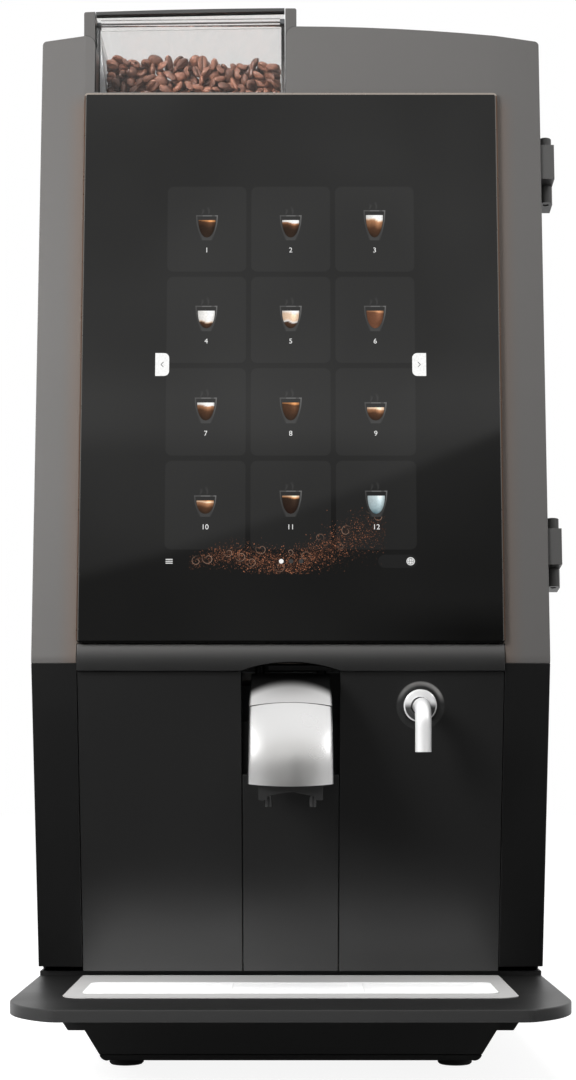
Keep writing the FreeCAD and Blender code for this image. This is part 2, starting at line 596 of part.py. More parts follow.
def row_of(body, feature, axis, pitch, count, tag="row"):
    """Repeat a feature in a row along one of the body's axes."""
    pattern = body.newObject("PartDesign::LinearPattern", f"{body.Name}_{tag}")
    pattern.Originals = [feature]
    origin = next(each for each in body.Origin.OriginFeatures if each.Role == axis + "_Axis")
    pattern.Direction = (origin, [""])
    pattern.setExpression("Length", bind(f"({pitch}) * {count - 1}"))
    pattern.Occurrences = count
    body.Tip = pattern
    return pattern


def ring_of(body, feature, count, tag="ring"):
    """Repeat a feature round the body's upright axis."""
    pattern = body.newObject("PartDesign::PolarPattern", f"{body.Name}_{tag}")
    pattern.Originals = [feature]
    origin = next(each for each in body.Origin.OriginFeatures if each.Role == "Z_Axis")
    pattern.Axis = (origin, [""])
    pattern.Angle = 360
    pattern.Occurrences = count
    body.Tip = pattern
    return pattern


def round_edges(body, name, radius, chosen):
    """Round the edges of a body that a test picks out."""
    doc.recompute()
    base = body.Tip
    edges = [f"Edge{index + 1}" for index, edge in enumerate(base.Shape.Edges) if chosen(edge)]
    fillet = body.newObject("PartDesign::Fillet", f"{body.Name}_{name}")
    fillet.Base = (base, edges)
    fillet.setExpression("Radius", bind(radius))
    body.Tip = fillet
    return fillet


def upright_at(owner, x=None, y=None):
    """A test for upright edges at a place across or in depth, on either side."""

    def test(edge):
        box = edge.BoundBox
        if box.XLength > 0.01 or box.YLength > 0.01:
            return False
        if x is not None and abs(abs(box.XMin) - abs(number(owner, x))) > 0.05:
            return False
        return y is None or abs(box.YMin - number(owner, y)) <= 0.05

    return test


def group(name, members):
    """Several like solids under one name."""
    compound = doc.addObject("Part::Compound", name)
    compound.Label = name
    compound.Links = members
    return compound


parts = []


def keep(part):
    """Mark an object as a finished piece of the machine."""
    parts.append(part)
    return part


# Base


def base_pan():
    body = new_body("base_pan")
    outer = [
        ("-pan_foot_half", "pan_low_z"),
        ("pan_foot_half", "pan_low_z"),
        ("half_width", "pan_bend_z"),
        ("half_width", "pan_top_z"),
        ("-half_width", "pan_top_z"),
        ("-half_width", "pan_bend_z"),
    ]
    inner = [
        ("-pan_foot_half + sheet_wall", "pan_floor_z"),
        ("pan_foot_half - sheet_wall", "pan_floor_z"),
        ("cabinet_half", "pan_bend_z + sheet_wall / 2"),
        ("cabinet_half", "pan_top_z + sheet_wall"),
        ("-cabinet_half", "pan_top_z + sheet_wall"),
        ("-cabinet_half", "pan_bend_z + sheet_wall / 2"),
    ]
    extrude(body, "shell", "XZ", "-pan_front", "rear_y", outer)
    extrude(body, "hollow", "XZ", "-pan_front + sheet_wall", "rear_inner", inner, cut=True)
    tongue = [
        ("-pedestal_half + pedestal_corner + sheet_wall", "tongue_low_z"),
        ("pedestal_half - pedestal_corner - sheet_wall", "tongue_low_z", "pedestal_corner * 1.2", 1),
        ("pedestal_half", "tongue_top_z"),
        ("-pedestal_half", "tongue_top_z", "pedestal_corner * 1.2", 1),
    ]
    extrude(body, "tongue", "XZ", "-pedestal_front", "-pan_front", tongue)
    heel = box_outline("-pedestal_half + 20", "pedestal_half - 20", "tongue_low_z", "pan_low_z")
    extrude(body, "heel", "XZ", "-pan_front - 1", "-pan_front + 30", heel)
    return keep(body)


def foot(name, x, y, height):
    body = new_body(name, x, y)
    spin(
        body,
        "pad",
        [
            ("0", "0"),
            ("foot_radius - 1", "0"),
            ("foot_radius", "1"),
            ("foot_radius", f"{height} - 1.5"),
            ("foot_radius - 2", height),
            ("0", height),
        ],
    )
    return body


def feet():
    members = []
    for side, sign in (("left", "-"), ("right", "")):
        members.append(foot(f"front_{side}_foot", f"{sign}foot_x", "-foot_front", "tongue_low_z"))
        members.append(foot(f"rear_{side}_foot", f"{sign}foot_x", "foot_rear", "pan_low_z"))
    return keep(group("feet", members))


# Cabinet


def side_panel(name, low, high):
    body = new_body(name)
    outline = [
        (lower_face("pan_top_z") + " + door_thick + door_gap", "pan_top_z"),
        ("rear_y", "pan_top_z"),
        ("rear_y", "cabinet_top_z"),
        (upper_face("cabinet_top_z") + " + door_thick + door_gap", "cabinet_top_z"),
        ("-front_reach + door_thick + door_gap", "kink_z"),
    ]
    extrude(body, "sheet", "YZ", low, high, outline)
    return keep(body)


def arch_band(half, top, bottom):
    """The arched top between two radii, as an outline seen from the front."""
    drop = f"(arch_radius - sqrt(arch_radius ^ 2 - ({half}) ^ 2))"
    return [
        (f"-({half})", f"crown_z - {drop} - {bottom}", f"arch_radius - {bottom}", -1),
        (half, f"crown_z - {drop} - {bottom}"),
        (half, f"crown_z - {drop} - {top}", f"arch_radius - {top}", 1),
        (f"-({half})", f"crown_z - {drop} - {top}"),
    ]


def top_panel():
    body = new_body("top_panel")
    extrude(body, "sheet", "XZ", "front_cut_y", "rear_y", arch_band("half_width", "0", "sheet_wall"))
    hole = box_outline("hopper_left - 0.3", "hopper_right + 0.3", "front_cut_y - 1", "hopper_rear + 0.3")
    extrude(body, "hopper_hole", "XY", "corner_z - 20", "crown_z + 5", hole, cut=True)
    return keep(body)


def rear_panel():
    body = new_body("rear_panel")
    drop = "(arch_radius - sqrt(arch_radius ^ 2 - cabinet_half ^ 2))"
    outline = [
        ("-cabinet_half", "pan_top_z"),
        ("cabinet_half", "pan_top_z"),
        ("cabinet_half", f"crown_z - {drop} - sheet_wall", "arch_radius - sheet_wall", 1),
        ("-cabinet_half", f"crown_z - {drop} - sheet_wall"),
    ]
    extrude(body, "sheet", "XZ", "rear_inner", "rear_y", outline)
    for tag, x, z in (("fan", "fan_x", "fan_z - 3 * vent_pitch"), ("low", "0", "kink_z - vent_pitch * 6")):
        slot = round_box(
            f"{x} - vent_long / 2",
            f"{x} + vent_long / 2",
            f"{z} - vent_wide / 2",
            f"{z} + vent_wide / 2",
            "vent_wide / 2 - 0.01",
        )
        vent = extrude(body, tag + "_vent", "XZ", "rear_inner - 1", "rear_y + 1", slot, cut=True)
        row_of(body, vent, "Z", "vent_pitch", 7, tag + "_vents")
    hole = circle("inlet_x", "inlet_z", "inlet_radius + 1.5")
    extrude(body, "inlet_hole", "XZ", "rear_inner - 1", "rear_y + 1", hole, cut=True)
    socket = box_outline(
        "socket_x - socket_half", "socket_x + socket_half", "socket_z", "socket_z + socket_tall"
    )
    extrude(body, "socket_hole", "XZ", "rear_inner - 1", "rear_y + 1", socket, cut=True)
    rocker = box_outline(
        "rocker_x - rocker_half - 2.7",
        "rocker_x + rocker_half + 2.7",
        "socket_z - 2.7",
        "socket_z + rocker_tall + 2.7",
    )
    extrude(body, "rocker_hole", "XZ", "rear_inner - 1", "rear_y + 1", rocker, cut=True)
    return keep(body)


def inner_bulkhead():
    body = new_body("inner_bulkhead")
    sheet_outline = box_outline("-cabinet_half", "cabinet_half", "pan_floor_z", "deck_z - sheet_wall")
    foot_cut = box_outline("pan_foot_half - 8", "half_width", "pan_floor_z - 1", "pan_top_z")
    extrude(body, "sheet", "XZ", "wall_y", "wall_back", sheet_outline)
    corner = extrude(body, "corner", "XZ", "wall_y - 1", "wall_back + 1", foot_cut, cut=True)
    mirror(body, [corner])
    holes = [
        circle(x, z, f"{radius} + 0.4")
        for x in ("can_left_x", "can_right_x")
        for z, radius in (("auger_z", "auger_shaft"), ("mixer_z", "whip_shaft"))
    ]
    extrude(body, "shaft_holes", "XZ", "wall_y - 1", "wall_back + 1", *holes, cut=True)
    funnel_room = box_outline("bin_left_x", "bin_right_x", "deck_z - funnel_tall + 6", "deck_z")
    extrude(body, "funnel_cut", "XZ", "wall_y - 1", "wall_back + 1", funnel_room, cut=True)
    return keep(body)


def funnel_corners(inset):
    """The bin's funnel at the deck, seen from above, drawn in by an inset."""
    return box_outline(
        f"bin_left_x + funnel_inset + {inset}",
        f"bin_right_x - funnel_inset - {inset}",
        f"bin_front_y + funnel_inset + {inset}",
        f"bin_rear_y - funnel_inset - {inset}",
    )


def upper_deck():
    body = new_body("upper_deck")
    plate = box_outline("-cabinet_half", "cabinet_half", "-hopper_front - 10", "rear_inner")
    extrude(body, "plate", "XY", "deck_z - sheet_wall", "deck_z", plate)
    extrude(body, "funnel_hole", "XY", "deck_z - 5", "deck_z + 1", funnel_corners("-1"), cut=True)
    return keep(body)


# Hopper


def hopper_frame():
    body = new_body("hopper_frame")
    outline = [
        ("hopper_left", "deck_z"),
        ("hopper_right", "deck_z"),
        ("hopper_right", "hopper_top_z", "hopper_arc", 1),
        ("hopper_left", "hopper_top_z - hopper_fall"),
    ]
    extrude(body, "block", "XZ", "-hopper_front", "hopper_rear", outline)
    room = box_outline(
        "hopper_left + pillar_wide", "hopper_right - pillar_wide", "deck_z - 1", "hopper_top_z + 5"
    )
    extrude(body, "room", "XZ", "-hopper_front - 1", "hopper_rear - pillar_wide", room, cut=True)
    back = box_outline(
        "hopper_left + pillar_wide", "hopper_right - pillar_wide", "bin_top_z", "hopper_top_z + 5"
    )
    extrude(body, "back_cut", "XZ", "hopper_rear - pillar_wide - 1", "hopper_rear + 1", back, cut=True)
    bore = circle("lid_axis_y", "lid_axis_z", "lid_pin + run_fit")
    extrude(body, "lid_bores", "YZ", "hopper_left + 2", "hopper_right - 2", bore, cut=True)
    round_edges(
        body,
        "tops",
        "1.5",
        lambda edge: edge.BoundBox.XLength < 0.01
        and edge.BoundBox.ZLength < 0.01
        and edge.BoundBox.YLength > number(body, "hopper_rear")
        and edge.BoundBox.ZMin > number(body, "bin_top_z")
        and min(
            abs(edge.BoundBox.XMin - number(body, "hopper_left")),
            abs(edge.BoundBox.XMin - number(body, "hopper_right")),
        )
        < 0.05,
    )
    return keep(body)


def hopper_bin():
    body = new_body("hopper_bin")
    outer = box_outline("bin_left_x", "bin_right_x", "bin_front_y", "bin_rear_y")
    inner = box_outline(
        "bin_left_x + bin_wall",
        "bin_right_x - bin_wall",
        "bin_front_y + bin_wall",
        "bin_rear_y - bin_wall",
    )
    extrude(body, "walls", "XY", "bin_low_z", "bin_top_z", outer)
    neck = box_outline(
        "grind_x - neck_outer", "grind_x + neck_outer", "grind_y - neck_outer", "grind_y + neck_outer"
    )
    bore = box_outline(
        "grind_x - neck_outer + bin_wall",
        "grind_x + neck_outer - bin_wall",
        "grind_y - neck_outer + bin_wall",
        "grind_y + neck_outer - bin_wall",
    )
    neck_z = "deck_z - funnel_tall + bin_fit"
    loft(body, "funnel", [("bin_low_z", funnel_corners("0")), (neck_z, neck)], ruled=True)
    extrude(body, "room", "XY", "bin_low_z + bin_wall", "bin_top_z + 1", inner, cut=True)
    loft(
        body,
        "throat",
        [("bin_low_z + bin_wall", funnel_corners("bin_wall")), (neck_z, bore)],
        cut=True,
        ruled=True,
    )
    return keep(body)


def lid_outline(low, high):
    """The hopper lid's arched section between two depths below the hopper's top."""
    return [
        ("hopper_left + pillar_wide + lid_fit", f"hopper_top_z - hopper_fall - {high}"),
        ("hopper_right - pillar_wide - lid_fit", f"hopper_top_z - {high}"),
        ("hopper_right - pillar_wide - lid_fit", f"hopper_top_z - {low}", "hopper_arc", 1),
        ("hopper_left + pillar_wide + lid_fit", f"hopper_top_z - hopper_fall - {low}"),
    ]


def hopper_lid():
    body = new_body("hopper_lid")
    plate = lid_outline("0.2", "lid_thick + 0.2")
    extrude(body, "plate", "XZ", "-hopper_front + lid_strip", "lid_axis_y", plate)
    barrel = circle("lid_axis_y", "lid_axis_z", "lid_barrel")
    left = "hopper_left + pillar_wide + lid_fit"
    right = "hopper_right - pillar_wide - lid_fit"
    extrude(body, "barrel", "YZ", left, right, barrel)
    web = box_outline(
        "lid_axis_y - lid_barrel / 2",
        "lid_axis_y + lid_barrel / 2",
        "lid_axis_z",
        "hopper_top_z - hopper_fall - lid_thick / 2",
    )
    extrude(body, "web", "YZ", left, right, web)
    pin = circle("lid_axis_y", "lid_axis_z", "lid_pin")
    extrude(body, "pins", "YZ", "hopper_left + 3", "hopper_right - 3", pin)
    return keep(body)


def lid_front_strip():
    body = new_body("lid_front_strip")
    strip = lid_outline("0", "lid_thick + 1")
    extrude(body, "strip", "XZ", "-hopper_front", "-hopper_front + lid_strip", strip)
    return keep(body)


# Door


def front_slab(body, name, corners, swept):
    """A slab across the column and a swept cheek on each side of it."""
    middle = extrude(body, name + "_column", "YZ", "-column_half", "column_half", corners)
    cheek = loft(
        body, name + "_cheek", [("column_half", corners), ("half_width", swept)], plane="YZ", ruled=True
    )
    mirror(body, [cheek])
    return middle


def shifted(corner, sweep):
    """A profile corner moved back by the cheek's sweep."""
    return (f"{corner[0]} + {sweep}",) + tuple(corner[1:])


def door_surround():
    body = new_body("door_surround")
    front = [
        ("seam_y", "seam_z", "fold_radius", -1),
        ("fold_upper_y", "fold_upper_z"),
        (upper_face("crown_z + 5"), "crown_z + 5"),
    ]
    rear = [
        (upper_face("crown_z + 5") + " + door_thick", "crown_z + 5"),
        ("-front_reach + door_thick", "kink_z"),
        (lower_face("seam_z") + " + door_thick", "seam_z"),
    ]
    swept = [shifted(corner, "cheek_sweep") for corner in front] + rear
    front_slab(body, "slab", front + rear, swept)
    over = [
        ("-half_width - 5", "crown_z - (arch_radius - sqrt(arch_radius ^ 2 - (half_width + 5) ^ 2))"),
        ("-half_width - 5", "crown_z + 20"),
        ("half_width + 5", "crown_z + 20"),
        (
            "half_width + 5",
            "crown_z - (arch_radius - sqrt(arch_radius ^ 2 - (half_width + 5) ^ 2))",
            "arch_radius",
            1,
        ),
    ]
    extrude(body, "arch", "XZ", "-front_reach - 5", "front_cut_y + 20", over, cut=True)
    opening = box_outline(
        "-column_half + screen_land",
        "column_half - screen_land",
        "kink_z + (screen_low + screen_land) * cos(lean_upper)",
        "kink_z + (screen_top - screen_land) * cos(lean_upper)",
    )
    extrude(body, "opening", "XZ", "-front_reach - 5", "front_cut_y + 20", opening, cut=True)
    seat = box_outline(
        "-front_reach - 5",
        "-front_reach + panel_thick + 1.2",
        "seam_z - 1",
        "kink_z + screen_low * cos(lean_upper)",
    )
    extrude(body, "ledge_seat", "YZ", "-column_half", "column_half", seat, cut=True)
    notch = [
        ("notch_left", "notch_low_z"),
        ("notch_right", "notch_low_z"),
        ("notch_right", "crown_z + 5"),
        ("notch_left", "crown_z + 5"),
    ]
    extrude(body, "notch", "XZ", "-front_reach - 5", "front_cut_y + 20", notch, cut=True)

    def notch_top(edge):
        box = edge.BoundBox
        across = min(abs(box.XMin - number(body, each)) for each in ("notch_left", "notch_right"))
        along = box.XLength < 0.01 and box.YLength > number(body, "door_thick / 2")
        return along and across < 0.05 and box.ZMin > number(body, "corner_z")

    round_edges(body, "notch_tops", "notch_corner", notch_top)

    def top_edge(edge):
        box = edge.BoundBox
        at_side = abs(abs(box.XMin) - number(body, "half_width")) < 0.05
        along = box.XLength < 0.01 and box.YLength > number(body, "door_thick / 2")
        return along and at_side and box.ZMin > number(body, "corner_z") - 5

    round_edges(body, "corners", "top_corner", top_edge)
    return keep(body)


def door_lower_frame():
    body = new_body("lower_frame_blank")
    front = [
        ("seam_y", "seam_z"),
        (lower_face("door_bottom_z"), "door_bottom_z"),
    ]
    rear = [
        (lower_face("door_bottom_z") + " + door_thick", "door_bottom_z"),
        (lower_face("seam_z") + " + door_thick", "seam_z"),
    ]
    cheek_front = [shifted(corner, "cheek_sweep") for corner in front]
    setback = "door_thick - web_thick"
    web = [shifted(corner, setback) for corner in front] + rear
    extrude(body, "web", "YZ", "-column_half", "column_half", web)
    cheek = loft(
        body,
        "cheek",
        [("column_half", front + rear), ("half_width", cheek_front + rear)],
        plane="YZ",
        ruled=True,
    )
    mirror(body, [cheek])
    half = "rod_spread + rod_radius + 3"
    for tag, low in (("low", "window_low_z - shelf_thick"), ("high", "window_top_z + 0.5")):
        high = f"({low} + shelf_thick * 0.7)" if tag == "high" else f"({low} + shelf_thick)"
        shelf = [
            (lower_face(low) + " + rod_depth - rod_radius - 1.5", low),
            (lower_face(low) + f" + {setback} + 1", low),
            (lower_face(high) + f" + {setback} + 1", high),
            (lower_face(high) + " + rod_depth - rod_radius - 1.5", high),
        ]
        extrude(body, tag + "_shelf", "YZ", f"-{half}", half, shelf)
    window = box_outline("-channel_half", "channel_half", "window_low_z", "window_top_z + 0.5")
    extrude(body, "window", "XZ", "-front_reach - 5", "0", window, cut=True)
    pipe = circle("tap_x", "tap_z", "tap_radius + 0.5")
    extrude(body, "tap_hole", "XZ", "-front_reach", "0", pipe, cut=True)
    rods = [guide_rod("left_rod", "-rod_spread"), guide_rod("right_rod", "rod_spread")]
    bored = doc.addObject("Part::Cut", "door_lower_frame")
    bored.Label = "door_lower_frame"
    bored.Base = body
    bored.Tool = group("spout_guide_rods", rods)
    keep(bored.Tool)
    return keep(bored)


def screen_glass():
    body = leaning_body("screen_glass", "upper")
    outline = round_box(
        "-column_half + bezel_wide",
        "column_half - bezel_wide",
        "screen_low + bezel_wide",
        "screen_top - bezel_wide",
        "screen_corner - bezel_wide",
    )
    extrude(body, "pane", "XZ", "-screen_proud", "0", outline)
    return keep(body)


def screen_bezel():
    body = leaning_body("screen_bezel", "upper")
    outer = round_box("-column_half", "column_half", "screen_low", "screen_top", "screen_corner")
    inner = round_box(
        "-column_half + bezel_wide",
        "column_half - bezel_wide",
        "screen_low + bezel_wide",
        "screen_top - bezel_wide",
        "screen_corner - bezel_wide",
    )
    extrude(body, "ring", "XZ", "-screen_proud + bezel_set", "0", outer, inner)
    return keep(body)


def display_module():
    body = leaning_body("display_module", "upper")
    case = round_box("-display_half", "display_half", "display_low", "display_low + display_tall", "4")
    extrude(body, "case", "XZ", "0", "upper_depth - 6", case)
    back = box_outline(
        "-display_half + 25", "display_half - 25", "display_low + 40", "display_low + display_tall - 60"
    )
    extrude(body, "back", "XZ", "upper_depth - 6", "upper_depth", back)
    return keep(body)


def ledge_strip():
    body = new_body("ledge_strip")
    upper_y = "-front_reach + (screen_low - 0.3) * sin(lean_upper)"
    upper_z = "kink_z + (screen_low - 0.3) * cos(lean_upper)"
    lower_y = "-front_reach + ledge_low * sin(lean_lower)"
    lower_z = "kink_z - ledge_low * cos(lean_lower)"
    proud = "0.8"
    outline = [
        (f"{upper_y} - {proud}", upper_z, "ledge_radius", 1),
        (f"{lower_y} - {proud} * cos(lean_lower)", f"{lower_z} - {proud} * sin(lean_lower)"),
        (f"{lower_y} + panel_thick * cos(lean_lower)", f"{lower_z} + panel_thick * sin(lean_lower)"),
        ("-front_reach + panel_thick + 1", "seam_z + 0.2"),
        (f"{upper_y} - 0.1", upper_z),
    ]
    extrude(body, "strip", "YZ", "-column_half + 0.3", "column_half - 0.3", outline)
    arch = [
        ("-channel_half", "window_top_z - 1"),
        ("channel_half", "window_top_z - 1"),
        (
            "channel_half",
            "window_top_z",
            "(channel_half ^ 2 + channel_arch ^ 2) / (2 * channel_arch)",
            1,
        ),
        ("-channel_half", "window_top_z"),
    ]
    extrude(body, "arch", "XZ", "-front_reach - 5", "-front_reach + 20", arch, cut=True)
    return keep(body)


def panel_half(name, left, right):
    body = leaning_body(name, "lower")
    outline = box_outline(left, right, "-panel_low", "-ledge_low - panel_gap")
    extrude(body, "sheet", "XZ", "panel_set", "panel_set + panel_thick", outline)
    return body


def lower_panel():
    left = panel_half("lower_panel_left", "-column_half + panel_gap", "-channel_half")
    right = panel_half("lower_panel_right", "channel_half", "column_half - panel_gap")
    tap_drop = "(kink_z - tap_z) / cos(lean_lower)"
    dish = [
        ("panel_set - 0.5", "0"),
        ("panel_set + dish_depth", "0"),
        ("panel_set + dish_depth", "flange_radius + 0.5"),
        ("panel_set", "dish_radius"),
        ("panel_set - 0.5", "dish_radius"),
    ]
    spin(right, "dish", dish, cut=True, tilt="H_Axis", y=f"-{tap_drop}", plane="YZ", lift="tap_x")
    hole = circle("tap_x", f"-{tap_drop}", "tap_radius + 1")
    extrude(right, "hole", "XZ", "panel_set", "panel_set + panel_thick + 1", hole, cut=True)
    return keep(group("lower_panel", [left, right]))


def apron_strip():
    body = leaning_body("apron_strip", "lower")
    top = "-(kink_z - window_low_z) / cos(lean_lower)"
    outline = box_outline("-channel_half + apron_gap", "channel_half - apron_gap", "-panel_low", top)
    extrude(body, "sheet", "XZ", "panel_set", "panel_set + panel_thick", outline)
    spacer = box_outline("-channel_half + 8", "channel_half - 8", "-panel_low + 12", "-panel_low + 40")
    extrude(body, "spacer", "XZ", "panel_set + panel_thick", "web_front", spacer)
    return keep(body)


def door_liner():
    body = new_body("door_liner")
    low_z = "door_bottom_z + 6"
    high_z = "notch_low_z - 6"
    outline = [
        (lower_face(low_z) + " + door_thick", low_z),
        (lower_face(low_z) + " + door_thick + liner_wall", low_z),
        ("-front_reach + door_thick + liner_wall", "kink_z"),
        (upper_face(high_z) + " + door_thick + liner_wall", high_z),
        (upper_face(high_z) + " + door_thick", high_z),
        ("-front_reach + door_thick", "kink_z"),
    ]
    extrude(body, "sheet", "YZ", "-half_width + liner_inset", "half_width - liner_inset", outline)
    window = box_outline("-channel_half", "channel_half", "window_low_z", "window_top_z")
    pipe = circle("tap_x", "tap_z", "tap_radius + 1")
    extrude(body, "openings", "XZ", "-front_reach", "0", window, pipe, cut=True)
    return keep(body)


def hot_water_tap():
    body = new_body("hot_water_tap", "tap_x")
    spine = add_sketch(body, "spine", "YZ")
    start = (lower_face("tap_z") + " + door_thick + liner_wall + 1.5", "tap_z")
    bend = ("-tap_reach + tap_bend", "tap_z")
    drop = ("-tap_reach", "tap_z - tap_bend")
    end = ("-tap_reach", "tap_end_z")
    places = [Vector(number(body, y), number(body, z), 0) for y, z in (start, bend, drop, end)]
    first = spine.addGeometry(Part.LineSegment(places[0], places[1]), False)
    turn = number(body, "tap_bend")
    elbow = spine.addGeometry(arc_between(places[1], places[2], turn, 1), False)
    last = spine.addGeometry(Part.LineSegment(places[2], places[3]), False)
    spine.addConstraint(Sketcher.Constraint("Coincident", first, 2, elbow, 1))
    spine.addConstraint(Sketcher.Constraint("Coincident", elbow, 2, last, 1))
    for place, corner in (((first, 1), start), ((first, 2), bend), ((elbow, 2), drop), ((last, 2), end)):
        fix(spine, "DistanceX", (-1, 1) + place, corner[0])
        fix(spine, "DistanceY", (-1, 1) + place, corner[1])
    fix(spine, "Radius", (elbow,), "tap_bend")
    ring = add_sketch(body, "ring", "XZ", f"-({start[0]})")
    draw(ring, [circle("0", "tap_z", "tap_radius"), circle("0", "tap_z", "tap_bore")])
    pipe = body.newObject("PartDesign::AdditivePipe", "hot_water_tap_tube")
    pipe.Profile = ring
    pipe.Spine = (spine, [])
    return keep(body)


def tap_flange():
    body = leaning_body("tap_flange", "lower", "tap_x")
    profile = [
        ("flange_seat", "tap_radius + 0.9"),
        ("flange_seat", "flange_radius"),
        ("flange_seat - flange_thick * 0.55", "flange_radius"),
        ("flange_seat - flange_thick * 0.75", "flange_radius - 0.8"),
        ("flange_seat - flange_thick", "tap_radius + 2"),
        ("flange_seat - flange_thick", "tap_radius + 0.9"),
    ]
    drop = "-(kink_z - tap_z) / cos(lean_lower)"
    spin(body, "disc", profile, tilt="H_Axis", y=drop, plane="YZ")
    return keep(body)


def guide_rod(name, x):
    body = leaning_body(name, "lower", x)
    low = "-(kink_z - window_low_z + shelf_thick * 0.6) / cos(lean_lower)"
    high = "-(kink_z - window_top_z - 2) / cos(lean_lower)"
    extrude(body, "rod", "XY", low, high, circle("0", "rod_depth", "rod_radius"))
    return body


# Spout


def spout_section(z, half, crown="spout_crown", corner="spout_round", step="0"):
    """The spout's outline at a height: bulged front, round corners, drawn in by a step."""
    nose = f"(-spout_nose + spout_curve - sqrt(spout_curve ^ 2 - (({z}) - spout_bottom_z) ^ 2) + {step})"
    rear = lower_face(z) + " - spout_clear"
    width = f"({half} - {step})"
    bulge = f"(({width} ^ 2 + ({crown}) ^ 2) / (2 * ({crown})))"
    reach = f"sqrt(({bulge} - ({corner})) ^ 2 - ({width} - ({corner})) ^ 2)"
    ratio = f"({bulge} / ({bulge} - ({corner})))"
    turn_x = f"({width} - ({corner})) * {ratio}"
    turn_y = f"{nose} + {bulge} - {reach} * {ratio}"
    side_y = f"{nose} + {bulge} - {reach}"
    return (
        z,
        [
            (f"-{turn_x}", turn_y, bulge, 1),
            (turn_x, turn_y, corner, 1),
            (width, side_y),
            (width, rear),
            (f"-{width}", rear),
            (f"-{width}", side_y, corner, 1),
        ],
    )


def between(low, high, count):
    """Evenly spaced heights between two, as formulas."""
    return [f"({low} + ({high} - {low}) * {index} / {count - 1})" for index in range(count)]


def seam_arc(lift, reach):
    """The arched seam of the spout as an outline that reaches a distance above or below it."""
    half = "(spout_half + 3)"
    radius = f"({half} ^ 2 + seam_rise ^ 2) / (2 * seam_rise)"
    seam = f"spout_seam_z + {lift}"
    if reach > 0:
        return [
            (f"-{half}", seam, radius, -1),
            (half, seam),
            (half, f"{seam} + {reach}"),
            (f"-{half}", f"{seam} + {reach}"),
        ]
    return [
        (f"-{half}", f"{seam} + {reach}"),
        (half, f"{seam} + {reach}"),
        (half, seam, radius, 1),
        (f"-{half}", seam),
    ]


def spout_cover():
    body = new_body("spout_cover")
    top = "spout_seam_z + seam_rise + 1"
    narrowing = "cover_taper / (cover_tall + seam_rise + 1)"
    heights = between("spout_bottom_z", top, 4)
    halves = [f"(spout_half - ({z} - spout_bottom_z) * {narrowing})" for z in heights]
    loft(body, "shell", [spout_section(z, half) for z, half in zip(heights, halves)])
    above = seam_arc("0", 12)
    extrude(body, "seam", "XZ", "-spout_nose - 5", "0", above, cut=True)
    inner = between("(spout_bottom_z - 1)", "(spout_seam_z - spout_wall)", 4)
    corner = "spout_round - spout_wall"
    hollow = [spout_section(z, "spout_half", "spout_crown", corner, "spout_wall") for z in inner]
    loft(body, "hollow", hollow, cut=True)
    rear_cut = [
        (lower_face("spout_bottom_z - 2") + " - spout_clear - spout_wall * 2", "spout_bottom_z - 2"),
        ("0", "spout_bottom_z - 2"),
        ("0", "spout_seam_z - spout_wall"),
        (
            lower_face("spout_seam_z - spout_wall") + " - spout_clear - spout_wall * 2",
            "spout_seam_z - spout_wall",
        ),
    ]
    opening = "spout_half - spout_wall - cover_taper"
    extrude(body, "rear", "YZ", f"-({opening})", opening, rear_cut, cut=True)
    slant = [
        ("-spout_nose - 5", "spout_bottom_z - 5"),
        ("0", "spout_bottom_z - 5"),
        ("0", "spout_bottom_z + spout_nose * tan(lean_lower)"),
        ("-spout_nose - 5", "spout_bottom_z - 5 * tan(lean_lower)"),
    ]
    extrude(body, "underside", "YZ", "-spout_half - 1", "spout_half + 1", slant, cut=True)
    return keep(body)


def spout_hood():
    body = new_body("spout_hood")
    heights = between("(spout_seam_z - 1)", "spout_top_z", 4)
    sections = []
    for z in heights:
        below = f"((spout_top_z - {z}) / hood_tall)"
        half = f"(hood_half - hood_taper * (1 - {below}))"
        crown = f"(0.8 + (spout_crown - 0.8) * {below})"
        corner = f"(1 + (spout_round - 1) * {below})"
        sections.append(spout_section(z, half, crown, corner, "0.6"))
    loft(body, "form", sections)
    extrude(body, "seam", "XZ", "-spout_nose - 5", "0", seam_arc("seam_gap", -12), cut=True)
    return keep(body)


def spout_carriage():
    body = leaning_body("spout_carriage", "lower")
    top = "-(kink_z - spout_top_z + slider_sink) / cos(lean_lower)"
    front = "panel_set + panel_thick + 0.9"
    block = round_box("-slider_half", "slider_half", front, "web_front - 0.8", "2")
    bores = [circle(x, "rod_depth", "rod_radius + run_fit") for x in ("-rod_spread", "rod_spread")]
    extrude(body, "block", "XY", f"{top} - slider_tall", top, block, *bores)
    neck = box_outline("-neck_half", "neck_half", "-spout_clear * cos(lean_lower)", f"{front} + 1")
    extrude(body, "neck", "XY", f"{top} - slider_tall + 1.5", f"{top} - 0.5", neck)
    return keep(body)


